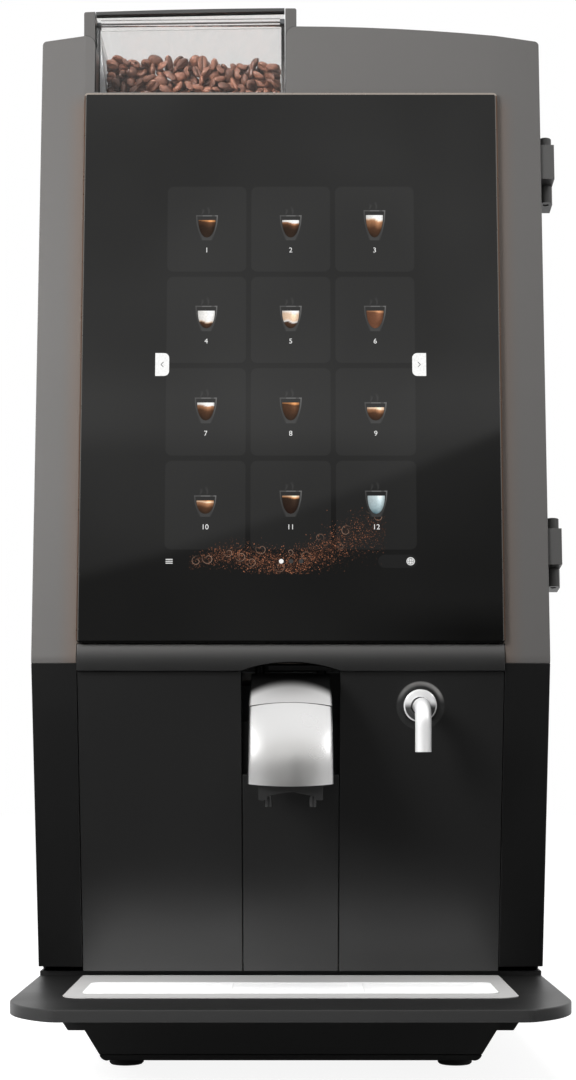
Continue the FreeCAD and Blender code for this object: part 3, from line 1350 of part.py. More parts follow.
def nozzle_block():
    body = new_body("nozzle_block")
    inner = "(nozzle_half - 5.5)"
    outline = [
        ("-nozzle_half", "nozzle_leg_z"),
        (f"-{inner}", "nozzle_leg_z"),
        (f"-{inner}", "nozzle_leg_z + 2.4"),
        ("0", "nozzle_leg_z + 5.2"),
        (inner, "nozzle_leg_z + 2.4"),
        (inner, "nozzle_leg_z"),
        ("nozzle_half", "nozzle_leg_z"),
        ("nozzle_half", "spout_bottom_z + 7"),
        ("-nozzle_half", "spout_bottom_z + 7"),
    ]
    extrude(body, "block", "XZ", "-nozzle_reach - 6", "-nozzle_reach + 10", outline)
    core = box_outline("-nozzle_half + 6", "nozzle_half - 6", "-nozzle_reach + 6", "-nozzle_reach + 24")
    extrude(body, "core", "XY", "spout_bottom_z + 3", "spout_seam_z - spout_wall - 0.1", core)
    tips = [circle(x, "-nozzle_reach", "nozzle_radius") for x in ("-nozzle_spread", "nozzle_spread")]
    extrude(body, "tips", "XY", "nozzle_tip_z", "nozzle_leg_z + 6", *tips)
    bores = [circle(x, "-nozzle_reach", "nozzle_bore") for x in ("-nozzle_spread", "nozzle_spread")]
    extrude(body, "bores", "XY", "nozzle_tip_z - 1", "nozzle_leg_z + 5", *bores, cut=True)
    return keep(body)


# Hinges


def hinge_frame(name, up):
    """A body whose own upright axis is the hinge axis, at a distance up the slope."""
    body = new_body(
        name,
        "half_width + hinge_out",
        f"-front_reach + door_thick - hinge_ahead + ({up}) * sin(lean_upper)",
        f"kink_z + ({up}) * cos(lean_upper)",
    )
    body.Placement = Placement(Vector(0, 0, 0), Rotation(Vector(1, 0, 0), 1))
    body.setExpression("Placement.Rotation.Angle", bind("-lean_upper"))
    return body


def knuckle_outline(reach):
    """A knuckle seen along its pin: round at the pin, running out to a block."""
    turn, near, far = (1, "-", "") if reach == "rear" else (-1, "", "-")
    return [
        ("-knuckle_radius", "0", "knuckle_radius", turn),
        ("0", f"{near}knuckle_radius", "knuckle_radius", turn),
        ("knuckle_radius", "0"),
        ("knuckle_radius", f"{far}leaf_reach"),
        ("-knuckle_radius", f"{far}leaf_reach"),
    ]


def body_leaf(name, up):
    body = hinge_frame(name, up)
    outline = knuckle_outline("rear")
    extrude(body, "low", "XY", "0", "knuckle_low", outline)
    extrude(body, "high", "XY", "knuckle_low + knuckle_mid", "leaf_tall", outline)
    pad_front = "hinge_ahead + door_gap + 0.6"
    pad = box_outline("-hinge_out", "knuckle_radius", pad_front, "leaf_reach")
    extrude(body, "pad", "XY", "0", "leaf_tall", pad)
    extrude(body, "bore", "XY", "-1", "leaf_tall - 1.5", circle("0", "0", "pin_radius"), cut=True)
    return body


def door_leaf(name, up):
    body = hinge_frame(name, up)
    low = "knuckle_low + knuckle_gap"
    high = "knuckle_low + knuckle_mid - knuckle_gap"
    extrude(body, "knuckle", "XY", low, high, knuckle_outline("front"))
    pad = box_outline("-hinge_out", "knuckle_radius", "-leaf_reach", "-knuckle_radius")
    extrude(body, "pad", "XY", low, high, pad)
    bore = circle("0", "0", "pin_radius + run_fit")
    extrude(body, "bore", "XY", f"{low} - 1", f"{high} + 1", bore, cut=True)
    return body


def hinge_pin(name, up):
    body = hinge_frame(name, up)
    extrude(body, "pin", "XY", "0.6", "leaf_tall - 1.5", circle("0", "0", "pin_radius"))
    return body


def hinges():
    lifts = (("lower", "hinge_low"), ("upper", "hinge_low + hinge_pitch"))
    keep(group("hinge_body_leaves", [body_leaf(f"{tag}_body_leaf", up) for tag, up in lifts]))
    keep(group("hinge_door_leaves", [door_leaf(f"{tag}_door_leaf", up) for tag, up in lifts]))
    keep(group("hinge_pins", [hinge_pin(f"{tag}_hinge_pin", up) for tag, up in lifts]))


# Drip tray


def drip_tray():
    body = new_body("drip_tray")
    plate = [
        ("-half_width", "tray_rear_y"),
        ("-half_width", "tray_corner_y", "tray_corner", 1),
        ("-tray_meet_x", "-half_depth"),
        ("tray_meet_x", "-half_depth", "tray_corner", 1),
        ("half_width", "tray_corner_y"),
        ("half_width", "tray_rear_y"),
    ]
    extrude(body, "plate", "XY", "tray_low_z", "tray_top_z", plate)
    round_edges(body, "blend", "tray_blend", upright_at(body, "tray_meet_x", "-half_depth"))

    def upper_rim(edge):
        box = edge.BoundBox
        high = box.ZMin > number(body, "tray_top_z") - 0.01
        return high and box.YMin < number(body, "tray_rear_y") - 1

    round_edges(body, "rim", "tray_edge", upper_rim)
    basin = [
        ("-pedestal_half", "basin_low_z"),
        ("pedestal_half", "basin_low_z"),
        ("pedestal_half + pedestal_flare", "tray_low_z"),
        ("pedestal_half + pedestal_flare", "tray_low_z + 1"),
        ("-pedestal_half - pedestal_flare", "tray_low_z + 1"),
        ("-pedestal_half - pedestal_flare", "tray_low_z"),
    ]
    extrude(body, "basin", "XZ", "-pedestal_front", "tray_rear_y - 1", basin)
    hollow = [
        ("-pedestal_half + basin_wall * 1.5", "basin_floor_z"),
        ("pedestal_half - basin_wall * 1.5", "basin_floor_z"),
        ("grate_half - 2", "tray_low_z"),
        ("grate_half - 2", "tray_top_z + 1"),
        ("-grate_half + 2", "tray_top_z + 1"),
        ("-grate_half + 2", "tray_low_z"),
    ]
    extrude(
        body,
        "hollow",
        "XZ",
        "-pedestal_front + basin_wall",
        "tray_rear_y - 1 - basin_wall",
        hollow,
        cut=True,
    )
    seat = inlay_outline("grate_fit / 2")
    extrude(body, "seat", "XY", "inlay_low_z", "tray_top_z + 1", seat, cut=True)
    return keep(body)


def inlay_outline(margin):
    """The inlay seen from above, rounded at its front, with a margin round it."""
    radius = f"(inlay_corner + {margin})"
    half = f"(inlay_half + {margin})"
    front = f"(-inlay_front - {margin})"
    rear = "(tray_rear_y - basin_wall * 2)"
    return [
        (f"-{half}", rear),
        (f"-{half}", f"{front} + {radius}", radius, 1),
        (f"-{half} + {radius}", front),
        (f"{half} - {radius}", front, radius, 1),
        (half, f"{front} + {radius}"),
        (half, rear),
    ]


def tray_inlay():
    body = new_body("tray_inlay")
    extrude(body, "sheet", "XY", "inlay_low_z", "inlay_top_z", inlay_outline("0"))
    seat = round_box("-grate_half", "grate_half", "-grate_front", "-grate_rear", "6")
    extrude(body, "seat", "XY", "inlay_low_z + inlay_floor", "inlay_top_z + 1", seat, cut=True)
    drain = round_box("-grate_half + 30", "grate_half - 30", "-grate_rear - 26", "-grate_rear - 8", "5")
    extrude(body, "drain", "XY", "inlay_low_z - 1", "inlay_top_z + 1", drain, cut=True)
    return keep(body)


def drip_grate():
    body = new_body("drip_grate")
    plate = round_box(
        "-grate_half + grate_fit",
        "grate_half - grate_fit",
        "-grate_front + grate_fit",
        "-grate_rear - grate_fit",
        "6 - grate_fit",
    )
    extrude(body, "plate", "XY", "grate_low_z", "grate_low_z + grate_thick", plate)
    first = "-grate_front + slot_margin"
    slots = [
        round_box(
            f"{column} * slot_column - slot_long / 2",
            f"{column} * slot_column + slot_long / 2",
            first,
            f"{first} + slot_wide",
            "slot_wide / 2 - 0.01",
        )
        for column in (-1, 0, 1)
    ]
    cut = extrude(body, "slots", "XY", "grate_low_z - 1", "grate_low_z + grate_thick + 1", *slots, cut=True)
    row_of(body, cut, "Y", "slot_pitch", 7)
    return keep(body)


# Grinder and brewing unit


def grinder_housing():
    body = new_body("grinder_housing", "grind_x", "grind_y", "grinder_z")
    profile = [
        ("burr_shaft + run_fit", "0"),
        ("grinder_radius - 4", "0"),
        ("grinder_radius", "5"),
        ("grinder_radius", "grinder_tall - 24"),
        ("neck_outer * 1.42", "grinder_tall - 4"),
        ("neck_outer * 1.42", "grinder_tall"),
        ("neck_outer * 1.1", "grinder_tall"),
        ("neck_outer * 1.1", "grinder_tall - 8"),
        ("grinder_radius - 7", "grinder_tall - 27"),
        ("grinder_radius - 7", "14"),
        ("burr_shaft + run_fit", "14"),
    ]
    spin(body, "case", profile)
    bracket = box_outline("-26", "26", "grinder_radius - 8", "wall_y - grind_y")
    extrude(body, "bracket", "XY", "24", "54", bracket)
    return keep(body)


def lower_burr():
    body = new_body("lower_burr", "grind_x", "grind_y", "grinder_z")
    profile = [
        ("0", "-6"),
        ("burr_shaft", "-6"),
        ("burr_shaft", "14.4"),
        ("burr_radius", "14.4"),
        ("burr_radius", "24"),
        ("burr_radius - 6", "27"),
        ("10", "34"),
        ("6", "40"),
        ("0", "40"),
    ]
    spin(body, "cone", profile)
    tooth = [("12", "-1.4"), ("burr_radius + 1", "-2.6"), ("burr_radius + 1", "0.4"), ("12", "0.4")]
    groove = extrude(body, "tooth", "XY", "22.5", "44", tooth, cut=True)
    ring_of(body, groove, 12)
    return keep(body)


def grinder_motor():
    body = new_body("grinder_motor", "grind_x", "grind_y", "grinder_z")
    profile = [
        ("burr_shaft + run_fit", "-8"),
        ("burr_shaft + run_fit", "0"),
        ("motor_radius - 8", "0"),
        ("motor_radius", "-4"),
        ("motor_radius", "-motor_tall + 10"),
        ("motor_radius - 4", "-motor_tall"),
        ("0", "-motor_tall"),
        ("0", "-8"),
    ]
    spin(body, "case", profile)
    return keep(body)


def grounds_chute():
    body = new_body("grounds_chute", "grind_x", "grind_y")
    front = "-grinder_radius - 13"
    low = "brewer_low_z + brewer_tall + 0.5"
    outer = [
        ("-grinder_radius + 2", "grinder_z + 48"),
        (front, "grinder_z + 30"),
        (front, f"{low} + 26"),
        ("-22", low),
        ("-6", low),
        ("-motor_radius - 4", f"{low} + 30"),
        ("-grinder_radius - 2", "grinder_z"),
        ("-grinder_radius - 0.4", "grinder_z + 8"),
        ("-grinder_radius - 0.4", "grinder_z + 46"),
    ]
    extrude(body, "case", "YZ", "-15", "15", outer[1:])
    return keep(body)


def brewer_frame():
    body = new_body("brewer_frame", "grind_x", "0", "brewer_low_z")
    front = "grind_y - 40"
    inner = "(brewer_half - plate_thick)"
    uprights = [
        ("-brewer_half", front),
        (f"-{inner}", front),
        (f"-{inner}", "wall_y - plate_thick"),
        (inner, "wall_y - plate_thick"),
        (inner, front),
        ("brewer_half", front),
        ("brewer_half", "wall_y"),
        ("-brewer_half", "wall_y"),
    ]
    extrude(body, "uprights", "XY", "0", "brewer_tall", uprights)
    plate = box_outline(f"-{inner} - 1", f"{inner} + 1", "grind_y - 34", "wall_y - 1")
    bottom_holes = [circle("0", "screw_y", "screw_radius + run_fit")]
    extrude(body, "bottom", "XY", "0", "4", plate, *bottom_holes)
    ring = circle("0", "grind_y", "chamber_radius")
    extrude(body, "clamp", "XY", "chamber_low + 30", "chamber_low + 36", plate, ring)
    return keep(body)


def brew_chamber():
    body = new_body("brew_chamber", "grind_x", "grind_y", "chamber_z")
    profile = [
        ("chamber_bore", "0"),
        ("chamber_radius", "0"),
        ("chamber_radius", "chamber_tall - 4"),
        ("chamber_radius + 3", "chamber_tall"),
        ("chamber_bore + 3", "chamber_tall"),
        ("chamber_bore", "chamber_tall - 5"),
    ]
    spin(body, "cylinder", profile)
    return keep(body)


def brew_piston():
    body = new_body("brew_piston", "grind_x", "grind_y", "chamber_z")
    head = [
        ("0", "-38"),
        ("6", "-38"),
        ("6", "4"),
        ("chamber_bore - run_fit", "4"),
        ("chamber_bore - run_fit", "14"),
        ("0", "14"),
    ]
    spin(body, "head", head)
    arm = round_box("-9", "9", "-9", "screw_y - grind_y + 6", "3")
    nut = circle("0", "screw_y - grind_y", "screw_radius + run_fit")
    extrude(body, "arm", "XY", "-38", "-30", arm, nut)
    return keep(body)


def drive_screw():
    body = new_body("drive_screw", "grind_x", "screw_y", "brewer_low_z")
    extrude(body, "shaft", "XY", "-6", "chamber_low + 26", circle("0", "0", "screw_radius"))
    return keep(body)


def brewer_motor():
    body = new_body("brewer_motor", "grind_x", "0", "brewer_low_z")
    case = round_box("-26", "26", "screw_y - 27", "wall_y", "4")
    extrude(body, "case", "XY", "-22", "-0", case)
    bore = circle("0", "screw_y", "screw_radius + run_fit")
    extrude(body, "bore", "XY", "-6.4", "1", bore, cut=True)
    return keep(body)


def waste_bin():
    body = new_body("waste_bin", "0", "0", "pan_floor_z")
    outer = round_box("bin_left", "bin_right", "-bin_ahead", "bin_back", "8")
    inner = round_box(
        "bin_left + 2.5", "bin_right - 2.5", "-bin_ahead + 2.5", "bin_back - 2.5", "5.5"
    )
    extrude(body, "walls", "XY", "0.3", "bin_tall", outer)
    extrude(body, "room", "XY", "3", "bin_tall + 1", inner, cut=True)
    lip = round_box("bin_left + 20", "bin_right - 20", "-bin_ahead - 9", "-bin_ahead + 2", "2")
    extrude(body, "grip", "XY", "bin_tall - 5", "bin_tall", lip)
    return keep(body)


# Powder system


def canister(name, x):
    body = new_body(name, x)

    def section(wall, top):
        radius = f"(trough_radius + can_wall - {wall})"
        half = f"(can_half - {wall})"
        return [
            (f"-{half}", "can_shoulder_z"),
            (f"-{radius}", "auger_z", radius, 1),
            ("0", f"auger_z - {radius}", radius, 1),
            (radius, "auger_z"),
            (half, "can_shoulder_z"),
            (half, top),
            (f"-{half}", top),
        ]

    extrude(body, "walls", "XZ", "-can_ahead", "can_back", section("0", "can_top_z"))
    outlet = circle("0", "auger_z", "trough_radius + can_wall")
    extrude(body, "outlet", "XZ", "-can_ahead - outlet_long", "-can_ahead + 1", outlet)
    room = section("can_wall", "can_top_z + 1")
    extrude(body, "room", "XZ", "-can_ahead + can_wall", "can_back - can_wall", room, cut=True)
    bore = circle("0", "auger_z", "trough_radius")
    inside = "-can_ahead - outlet_long + can_wall"
    extrude(body, "bore", "XZ", inside, "-can_ahead + can_wall + 1", bore, cut=True)
    mouth = round_box("-11", "11", inside, "-can_ahead - 3", "3")
    extrude(body, "mouth", "XY", "auger_z - trough_radius - 8", "auger_z", mouth, cut=True)
    shaft = circle("0", "auger_z", "auger_shaft + run_fit")
    extrude(body, "shaft_hole", "XZ", "can_back - can_wall - 1", "can_back + 1", shaft, cut=True)
    return body


def powder_canisters():
    members = [canister("left_canister", "can_left_x"), canister("right_canister", "can_right_x")]
    return keep(group("powder_canisters", members))


def canister_lids():
    members = []
    for tag, x in (("left", "can_left_x"), ("right", "can_right_x")):
        body = new_body(f"{tag}_canister_lid", x, "0", "can_top_z")
        plate = round_box("-can_half - 1", "can_half + 1", "-can_ahead - 1", "can_back + 1", "3")
        extrude(body, "plate", "XY", "0", "4", plate)
        members.append(body)
    return keep(group("canister_lids", members))


def auger(name, x):
    body = new_body(name, x, "0", "auger_z")
    back = "wall_back + 8"
    extrude(body, "shaft", "XZ", "-can_ahead - outlet_long + 4", back, circle("0", "0", "auger_shaft"))
    sketch = add_sketch(body, "flight", "YZ")
    start = "-can_ahead - outlet_long + 5"
    blade = [
        (start, "auger_shaft - 0.5"),
        (f"{start} + 2.4", "auger_shaft - 0.5"),
        (f"{start} + 1.8", "auger_radius"),
        (f"{start} + 0.6", "auger_radius"),
    ]
    draw(sketch, [blade])
    helix = body.newObject("PartDesign::AdditiveHelix", name + "_helix")
    helix.Profile = sketch
    helix.ReferenceAxis = (sketch, ["H_Axis"])
    helix.Mode = 0
    helix.setExpression("Pitch", bind("auger_pitch"))
    helix.setExpression("Height", bind("auger_pitch * auger_turns"))
    return keep(body)


def mixer_bowl(name, x):
    body = new_body(name, x, "0", "mixer_z")
    extrude(body, "chamber", "XZ", "-mixer_ahead", "wall_y - 22", circle("0", "0", "mixer_radius"))
    rise = "(mixer_radius - 3)"
    cone = [
        ("0", rise),
        ("12", rise),
        ("bowl_radius", f"{rise} + bowl_tall * 0.7"),
        ("bowl_radius", f"{rise} + bowl_tall"),
        ("0", f"{rise} + bowl_tall"),
    ]
    hollow = [
        ("0", f"{rise} - 4"),
        ("12 - mixer_wall", f"{rise} - 4"),
        ("12 - mixer_wall", f"{rise} + 1"),
        ("bowl_radius - mixer_wall", f"{rise} + bowl_tall * 0.7 + 1"),
        ("bowl_radius - mixer_wall", f"{rise} + bowl_tall + 1"),
        ("0", f"{rise} + bowl_tall + 1"),
    ]
    spin(body, "bowl", cone, y="0")
    front = "-mixer_ahead + mixer_wall"
    bore = circle("0", "0", "mixer_radius - mixer_wall")
    extrude(body, "bore", "XZ", front, "wall_y - 22 - mixer_wall", bore, cut=True)
    spin(body, "room", hollow, cut=True)
    shaft = circle("0", "0", "whip_shaft + run_fit")
    extrude(body, "shaft_hole", "XZ", "wall_y - 26", "wall_y", shaft, cut=True)
    collar = [circle("0", "0", "whip_shaft + 5"), circle("0", "0", "whip_shaft + run_fit")]
    extrude(body, "collar", "XZ", "wall_y - 22", "wall_y", *collar)
    outlet = [circle("0", "-mixer_ahead + 8", "5")]
    extrude(body, "outlet", "XY", "-mixer_radius - 12", "-mixer_radius + 1.5", *outlet)
    drain = [circle("0", "-mixer_ahead + 8", "3.5")]
    extrude(body, "drain", "XY", "-mixer_radius - 13", "-mixer_radius + 3", *drain, cut=True)
    return body


def mixer_bowls():
    members = [mixer_bowl("left_mixer_bowl", "can_left_x"), mixer_bowl("right_mixer_bowl", "can_right_x")]
    return keep(group("mixer_bowls", members))


def whipper(name, x):
    body = new_body(name, x, "0", "mixer_z")
    extrude(body, "shaft", "XZ", "-mixer_ahead + 8", "wall_back + 8", circle("0", "0", "whip_shaft"))
    extrude(body, "disc", "XZ", "-mixer_ahead + 10", "-mixer_ahead + 13", circle("0", "0", "whip_radius"))
    blade = box_outline("-1.2", "1.2", "-whip_radius + 1", "whip_radius - 1")
    extrude(body, "blade", "XZ", "-mixer_ahead + 4", "-mixer_ahead + 11", blade)
    return keep(body)


def powder_motors():
    members = []
    for side, x in (("left", "can_left_x"), ("right", "can_right_x")):
        for job, z, shaft in (("auger", "auger_z", "auger_shaft"), ("whipper", "mixer_z", "whip_shaft")):
            body = new_body(f"{side}_{job}_motor", x, "wall_back", z)
            case = circle("0", "0", "drive_radius")
            extrude(body, "case", "XZ", "0", "drive_long", case)
            gearbox = circle("0", "0", "drive_radius * 0.72")
            extrude(body, "gearbox", "XZ", "drive_long", "drive_long * 1.5", gearbox)
            bore = circle("0", "0", f"{shaft} + run_fit")
            extrude(body, "bore", "XZ", "-1", "8.4", bore, cut=True)
            members.append(body)
    return keep(group("powder_motors", members))


# Water and power


def boiler():
    body = new_body("boiler", "boiler_x", "boiler_y", "pan_floor_z")
    profile = [
        ("0", "0"),
        ("boiler_radius - 14", "0"),
        ("boiler_radius - 14", "boiler_stand - 10"),
        ("boiler_radius", "boiler_stand"),
        ("boiler_radius", "boiler_stand + boiler_tall - 18"),
        ("boiler_radius - 10", "boiler_stand + boiler_tall - 4"),
        ("14", "boiler_stand + boiler_tall"),
        ("14", "boiler_stand + boiler_tall + 12"),
        ("0", "boiler_stand + boiler_tall + 12"),
    ]
    spin(body, "tank", profile)
    return keep(body)


def water_pump():
    body = new_body("water_pump", "pump_x", "pump_y", "pan_floor_z")
    base = round_box("-pump_radius", "pump_radius", "-pump_long / 2 + 10", "pump_long / 2 - 10", "4")
    extrude(body, "base", "XY", "0", "24", base)
    barrel = circle("0", "24 + pump_radius - 4", "pump_radius")
    extrude(body, "barrel", "XZ", "-pump_long / 2", "pump_long / 2", barrel)
    head = circle("0", "24 + pump_radius - 4", "pump_radius * 0.6")
    extrude(body, "head", "XZ", "pump_long / 2", "pump_long / 2 + 16", head)
    return keep(body)


def inlet_valve():
    body = new_body("inlet_valve", "inlet_x", "0", "inlet_z")
    half = "valve_size / 2"
    block = round_box(f"-{half}", half, f"-{half}", half, "4")
    extrude(body, "block", "XZ", "rear_inner - valve_size", "rear_inner", block)
    extrude(body, "thread", "XZ", "rear_inner", "half_depth", circle("0", "0", "inlet_radius"))
    bore = circle("0", "0", "inlet_bore")
    extrude(body, "bore", "XZ", "rear_inner - 12", "half_depth + 1", bore, cut=True)
    return keep(body)


def control_box():
    body = new_body("control_box", "box_left", "0", "box_low_z")
    case = round_box("0", "box_wide", "rear_inner - box_deep", "rear_inner", "5")
    extrude(body, "case", "XY", "0", "box_tall", case)
    return keep(body)


def fan_housing():
    body = new_body("fan_housing", "fan_x", "0", "fan_z")
    square = round_box("-fan_half", "fan_half", "-fan_half", "fan_half", "5")
    extrude(body, "frame", "XZ", "rear_inner - fan_deep", "rear_inner", square)
    hole = circle("0", "0", "fan_radius")
    extrude(body, "duct", "XZ", "rear_inner - fan_deep - 1", "rear_inner - 3", hole, cut=True)
    middle = circle("0", "0", "fan_hub + 2")
    extrude(body, "mouth", "XZ", "rear_inner - 4", "rear_inner + 1", hole, middle, cut=True)
    spoke = box_outline("-fan_radius - 1", "fan_radius + 1", "-2.5", "2.5")
    extrude(body, "spoke", "XZ", "rear_inner - 3", "rear_inner", spoke)
    axle = circle("0", "0", "3")
    extrude(body, "axle", "XZ", "rear_inner - fan_deep + 4", "rear_inner - 2", axle)
    return keep(body)


def fan_rotor():
    body = new_body("fan_rotor", "fan_x", "0", "fan_z")
    low = "rear_inner - fan_deep + 3"
    high = "rear_inner - 6"
    extrude(body, "hub", "XZ", low, high, circle("0", "0", "fan_hub"))
    for index in range(3):
        angle = index * 120
        turn = f"{math.cos(math.radians(angle)):.6f}"
        side = f"{math.sin(math.radians(angle)):.6f}"

        def at(radius, offset):
            return (
                f"{turn} * ({radius}) - {side} * ({offset})",
                f"{side} * ({radius}) + {turn} * ({offset})",
            )

        blade = [
            at("fan_hub - 2", "-5"),
            at("fan_tip", "-12"),
            at("fan_tip", "-9"),
            at("fan_hub - 2", "-2"),
        ]
        extrude(body, f"blade{index}", "XZ", f"{low} + 2", f"{high} - 2", blade)
    extrude(body, "bore", "XZ", f"{low} + 1", f"{high} + 1", circle("0", "0", "3 + run_fit"), cut=True)
    return keep(body)


def power_inlet():
    body = new_body("mains_socket", "socket_x", "0", "socket_z")
    block = round_box("-socket_half", "socket_half", "0", "socket_tall", "3")
    extrude(body, "block", "XZ", "rear_y - socket_deep", "rear_y", block)
    flange = round_box("-socket_half - 4", "socket_half + 4", "-4", "socket_tall + 4", "3")
    extrude(body, "flange", "XZ", "rear_y", "rear_y + 2", flange)
    well = round_box("-socket_half + 2.5", "socket_half - 2.5", "2.5", "socket_tall - 2.5", "2")
    extrude(body, "well", "XZ", "rear_y - socket_deep + 4", "rear_y + 3", well, cut=True)
    pins = [circle(x, z, "1.6") for x, z in (("-6", "socket_tall / 2 - 2"), ("6", "socket_tall / 2 - 2"))]
    extrude(body, "pins", "XZ", "rear_y - socket_deep + 3", "rear_y - 3", *pins)
    case = new_body("switch_case", "rocker_x", "rear_y", "socket_z + rocker_tall / 2")
    half = "rocker_half + 2.5"
    tall = "rocker_tall / 2 + 2.5"
    extrude(case, "block", "XZ", "-18", "0", round_box(f"-({half})", half, f"-({tall})", tall, "1.5"))
    room = box_outline(
        "-rocker_half - 0.3", "rocker_half + 0.3", "-rocker_tall / 2 - 0.3", "rocker_tall / 2 + 0.3"
    )
    extrude(case, "room", "XZ", "-12", "1", room, cut=True)
    pivot = circle("-3", "0", "1.5")
    extrude(case, "pivot", "YZ", "-rocker_half - 1", "rocker_half + 1", pivot)
    return keep(group("power_inlet", [body, case]))


def switch_rocker():
    body = new_body("switch_rocker", "rocker_x", "rear_y", "socket_z + rocker_tall / 2")
    profile = [
        ("-6", "-rocker_tall / 2 + 0.6"),
        ("0.5", "-rocker_tall / 2 + 0.4"),
        ("2.2", "-rocker_tall / 2 + 1"),
        ("1", "0"),
        ("3.4", "rocker_tall / 2 - 1.4"),
        ("1.8", "rocker_tall / 2 - 0.8"),
        ("-6", "rocker_tall / 2 - 2.4"),
    ]
    extrude(body, "rocker", "YZ", "-rocker_half", "rocker_half", profile)
    pivot = circle("-3", "0", "1.5 + run_fit")
    extrude(body, "pivot", "YZ", "-rocker_half - 1", "rocker_half + 1", pivot, cut=True)
    return keep(body)


def build():
    fill_sheet()
    base_pan()
    feet()
    side_panel("left_side_panel", "-half_width", "-cabinet_half")
    side_panel("right_side_panel", "cabinet_half", "half_width")
    top_panel()
    rear_panel()
    inner_bulkhead()
    upper_deck()
    hopper_frame()
    hopper_bin()
    hopper_lid()
    lid_front_strip()
    door_surround()
    door_lower_frame()
    screen_glass()
    screen_bezel()
    display_module()
    ledge_strip()
    lower_panel()
    apron_strip()
    door_liner()
    hot_water_tap()
    tap_flange()
    spout_cover()
    spout_hood()
    spout_carriage()
    nozzle_block()
    hinges()
    drip_tray()
    tray_inlay()
    drip_grate()
    grinder_housing()
    lower_burr()
    grinder_motor()
    grounds_chute()
    brewer_frame()
    brew_chamber()
    brew_piston()
    drive_screw()
    brewer_motor()
    waste_bin()
    powder_canisters()
    canister_lids()
    auger("auger_left", "can_left_x")
    auger("auger_right", "can_right_x")
    mixer_bowls()
    whipper("whipper_left", "can_left_x")
    whipper("whipper_right", "can_right_x")
    powder_motors()
    boiler()
    water_pump()
    inlet_valve()
    control_box()
    fan_housing()
    fan_rotor()
    power_inlet()
    switch_rocker()


def check_and_save():
    """Stop if anything failed to build, then write each piece to its own file."""
    doc.recompute()
    problems = []
    for item in doc.Objects:
        if "Invalid" in item.State or "Error" in item.State:
            problems.append(f"{item.Name}: {item.State}")
    for part in parts:
        if part.Shape.isNull() or not part.Shape.isValid() or not part.Shape.Solids:
            problems.append(f"{part.Label}: no valid solid")
    if problems:
        raise RuntimeError("; ".join(problems))
    os.makedirs("parts", exist_ok=True)
    for part in parts:
        part.Shape.exportStep(f"parts/{part.Label}.step")
        print(f"{part.Label}: {len(part.Shape.Solids)} solid(s), {part.Shape.Volume / 1000:.1f} cm3")


build()
check_and_save()
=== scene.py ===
# %% [markdown]
# # Bean-to-cup coffee machine
# This lesson dresses a CAD model of a table-top coffee machine. The solids, their sizes and their
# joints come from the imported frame. Here they get finishes, soft edges, the screen's picture and
# the coffee beans. Everything is in metres, +Z is up and the machine looks towards -Y.

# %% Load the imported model
import json
import math

import bmesh
import bpy
import numpy as np
from mathutils import Matrix, Vector


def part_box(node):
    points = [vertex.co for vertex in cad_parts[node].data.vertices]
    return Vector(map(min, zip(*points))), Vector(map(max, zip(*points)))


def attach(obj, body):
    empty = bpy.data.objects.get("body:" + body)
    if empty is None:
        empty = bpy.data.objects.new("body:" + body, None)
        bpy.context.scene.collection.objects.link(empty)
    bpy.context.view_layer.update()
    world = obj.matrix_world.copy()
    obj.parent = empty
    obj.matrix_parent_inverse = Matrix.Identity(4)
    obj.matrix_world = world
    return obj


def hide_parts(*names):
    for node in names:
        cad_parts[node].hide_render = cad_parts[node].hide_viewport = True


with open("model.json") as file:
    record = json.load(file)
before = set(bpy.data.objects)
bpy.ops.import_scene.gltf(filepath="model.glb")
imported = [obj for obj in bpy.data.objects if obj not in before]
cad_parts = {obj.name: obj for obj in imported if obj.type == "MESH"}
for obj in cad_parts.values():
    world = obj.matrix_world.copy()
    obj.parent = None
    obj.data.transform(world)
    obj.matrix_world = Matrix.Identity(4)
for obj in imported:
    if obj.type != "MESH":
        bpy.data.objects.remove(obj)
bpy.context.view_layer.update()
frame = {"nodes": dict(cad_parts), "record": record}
nodes = frame["nodes"]
print("pieces in the frame:", len(nodes))

# %% [markdown]
# The front of the machine is folded: above the fold it leans back, below it recedes. Many details
# sit on the leaning glass, so two small helpers turn millimetres on the glass into places in space.

# %% Places on the leaning glass
MM = 0.001
FOLD = Vector((0.0, -0.136, 0.2585))
GLASS_RUN, GLASS_RISE = 57.0, 420.5
LEAN = math.atan(GLASS_RUN / GLASS_RISE)
UP_SLOPE = Vector((0.0, math.sin(LEAN), math.cos(LEAN)))
OUTWARD = Vector((0.0, -math.cos(LEAN), math.sin(LEAN)))
GLASS_PROUD = 3.2


def on_glass(across, up, proud=0.0):
    """A point over the glass: millimetres across, up the slope and in front of it."""
    return FOLD + (Vector((across, 0, 0)) + UP_SLOPE * up + OUTWARD * (GLASS_PROUD + proud)) * MM


print("fold of the glass:", [round(value, 4) for value in on_glass(0, 0)])

# %% [markdown]
# Everything that is made here is a mesh, a lamp or a camera, and each of them needs an object that
# is linked to the scene. Two helpers do that, so that each step below is about its shape alone.

# %% Putting things in the scene
def put_in_scene(name, data):
    """An object for a mesh, a lamp or a camera, linked to the scene."""
    thing = bpy.data.objects.new(name, data)
    bpy.context.scene.collection.objects.link(thing)
    return thing


def new_piece(name, corners, faces, *materials):
    """A mesh object from corners in metres, faces and materials."""
    mesh = bpy.data.meshes.new(name)
    mesh.from_pydata([tuple(corner) for corner in corners], [], faces)
    for material in materials:
        mesh.materials.append(material)
    return put_in_scene(name, mesh)


# %% [markdown]
# The photograph was taken from just above the spout's height with a level camera, and the picture
# was shifted up to take in the hopper. A level camera keeps upright edges upright, so the same
# lens, height and vertical shift are used here.

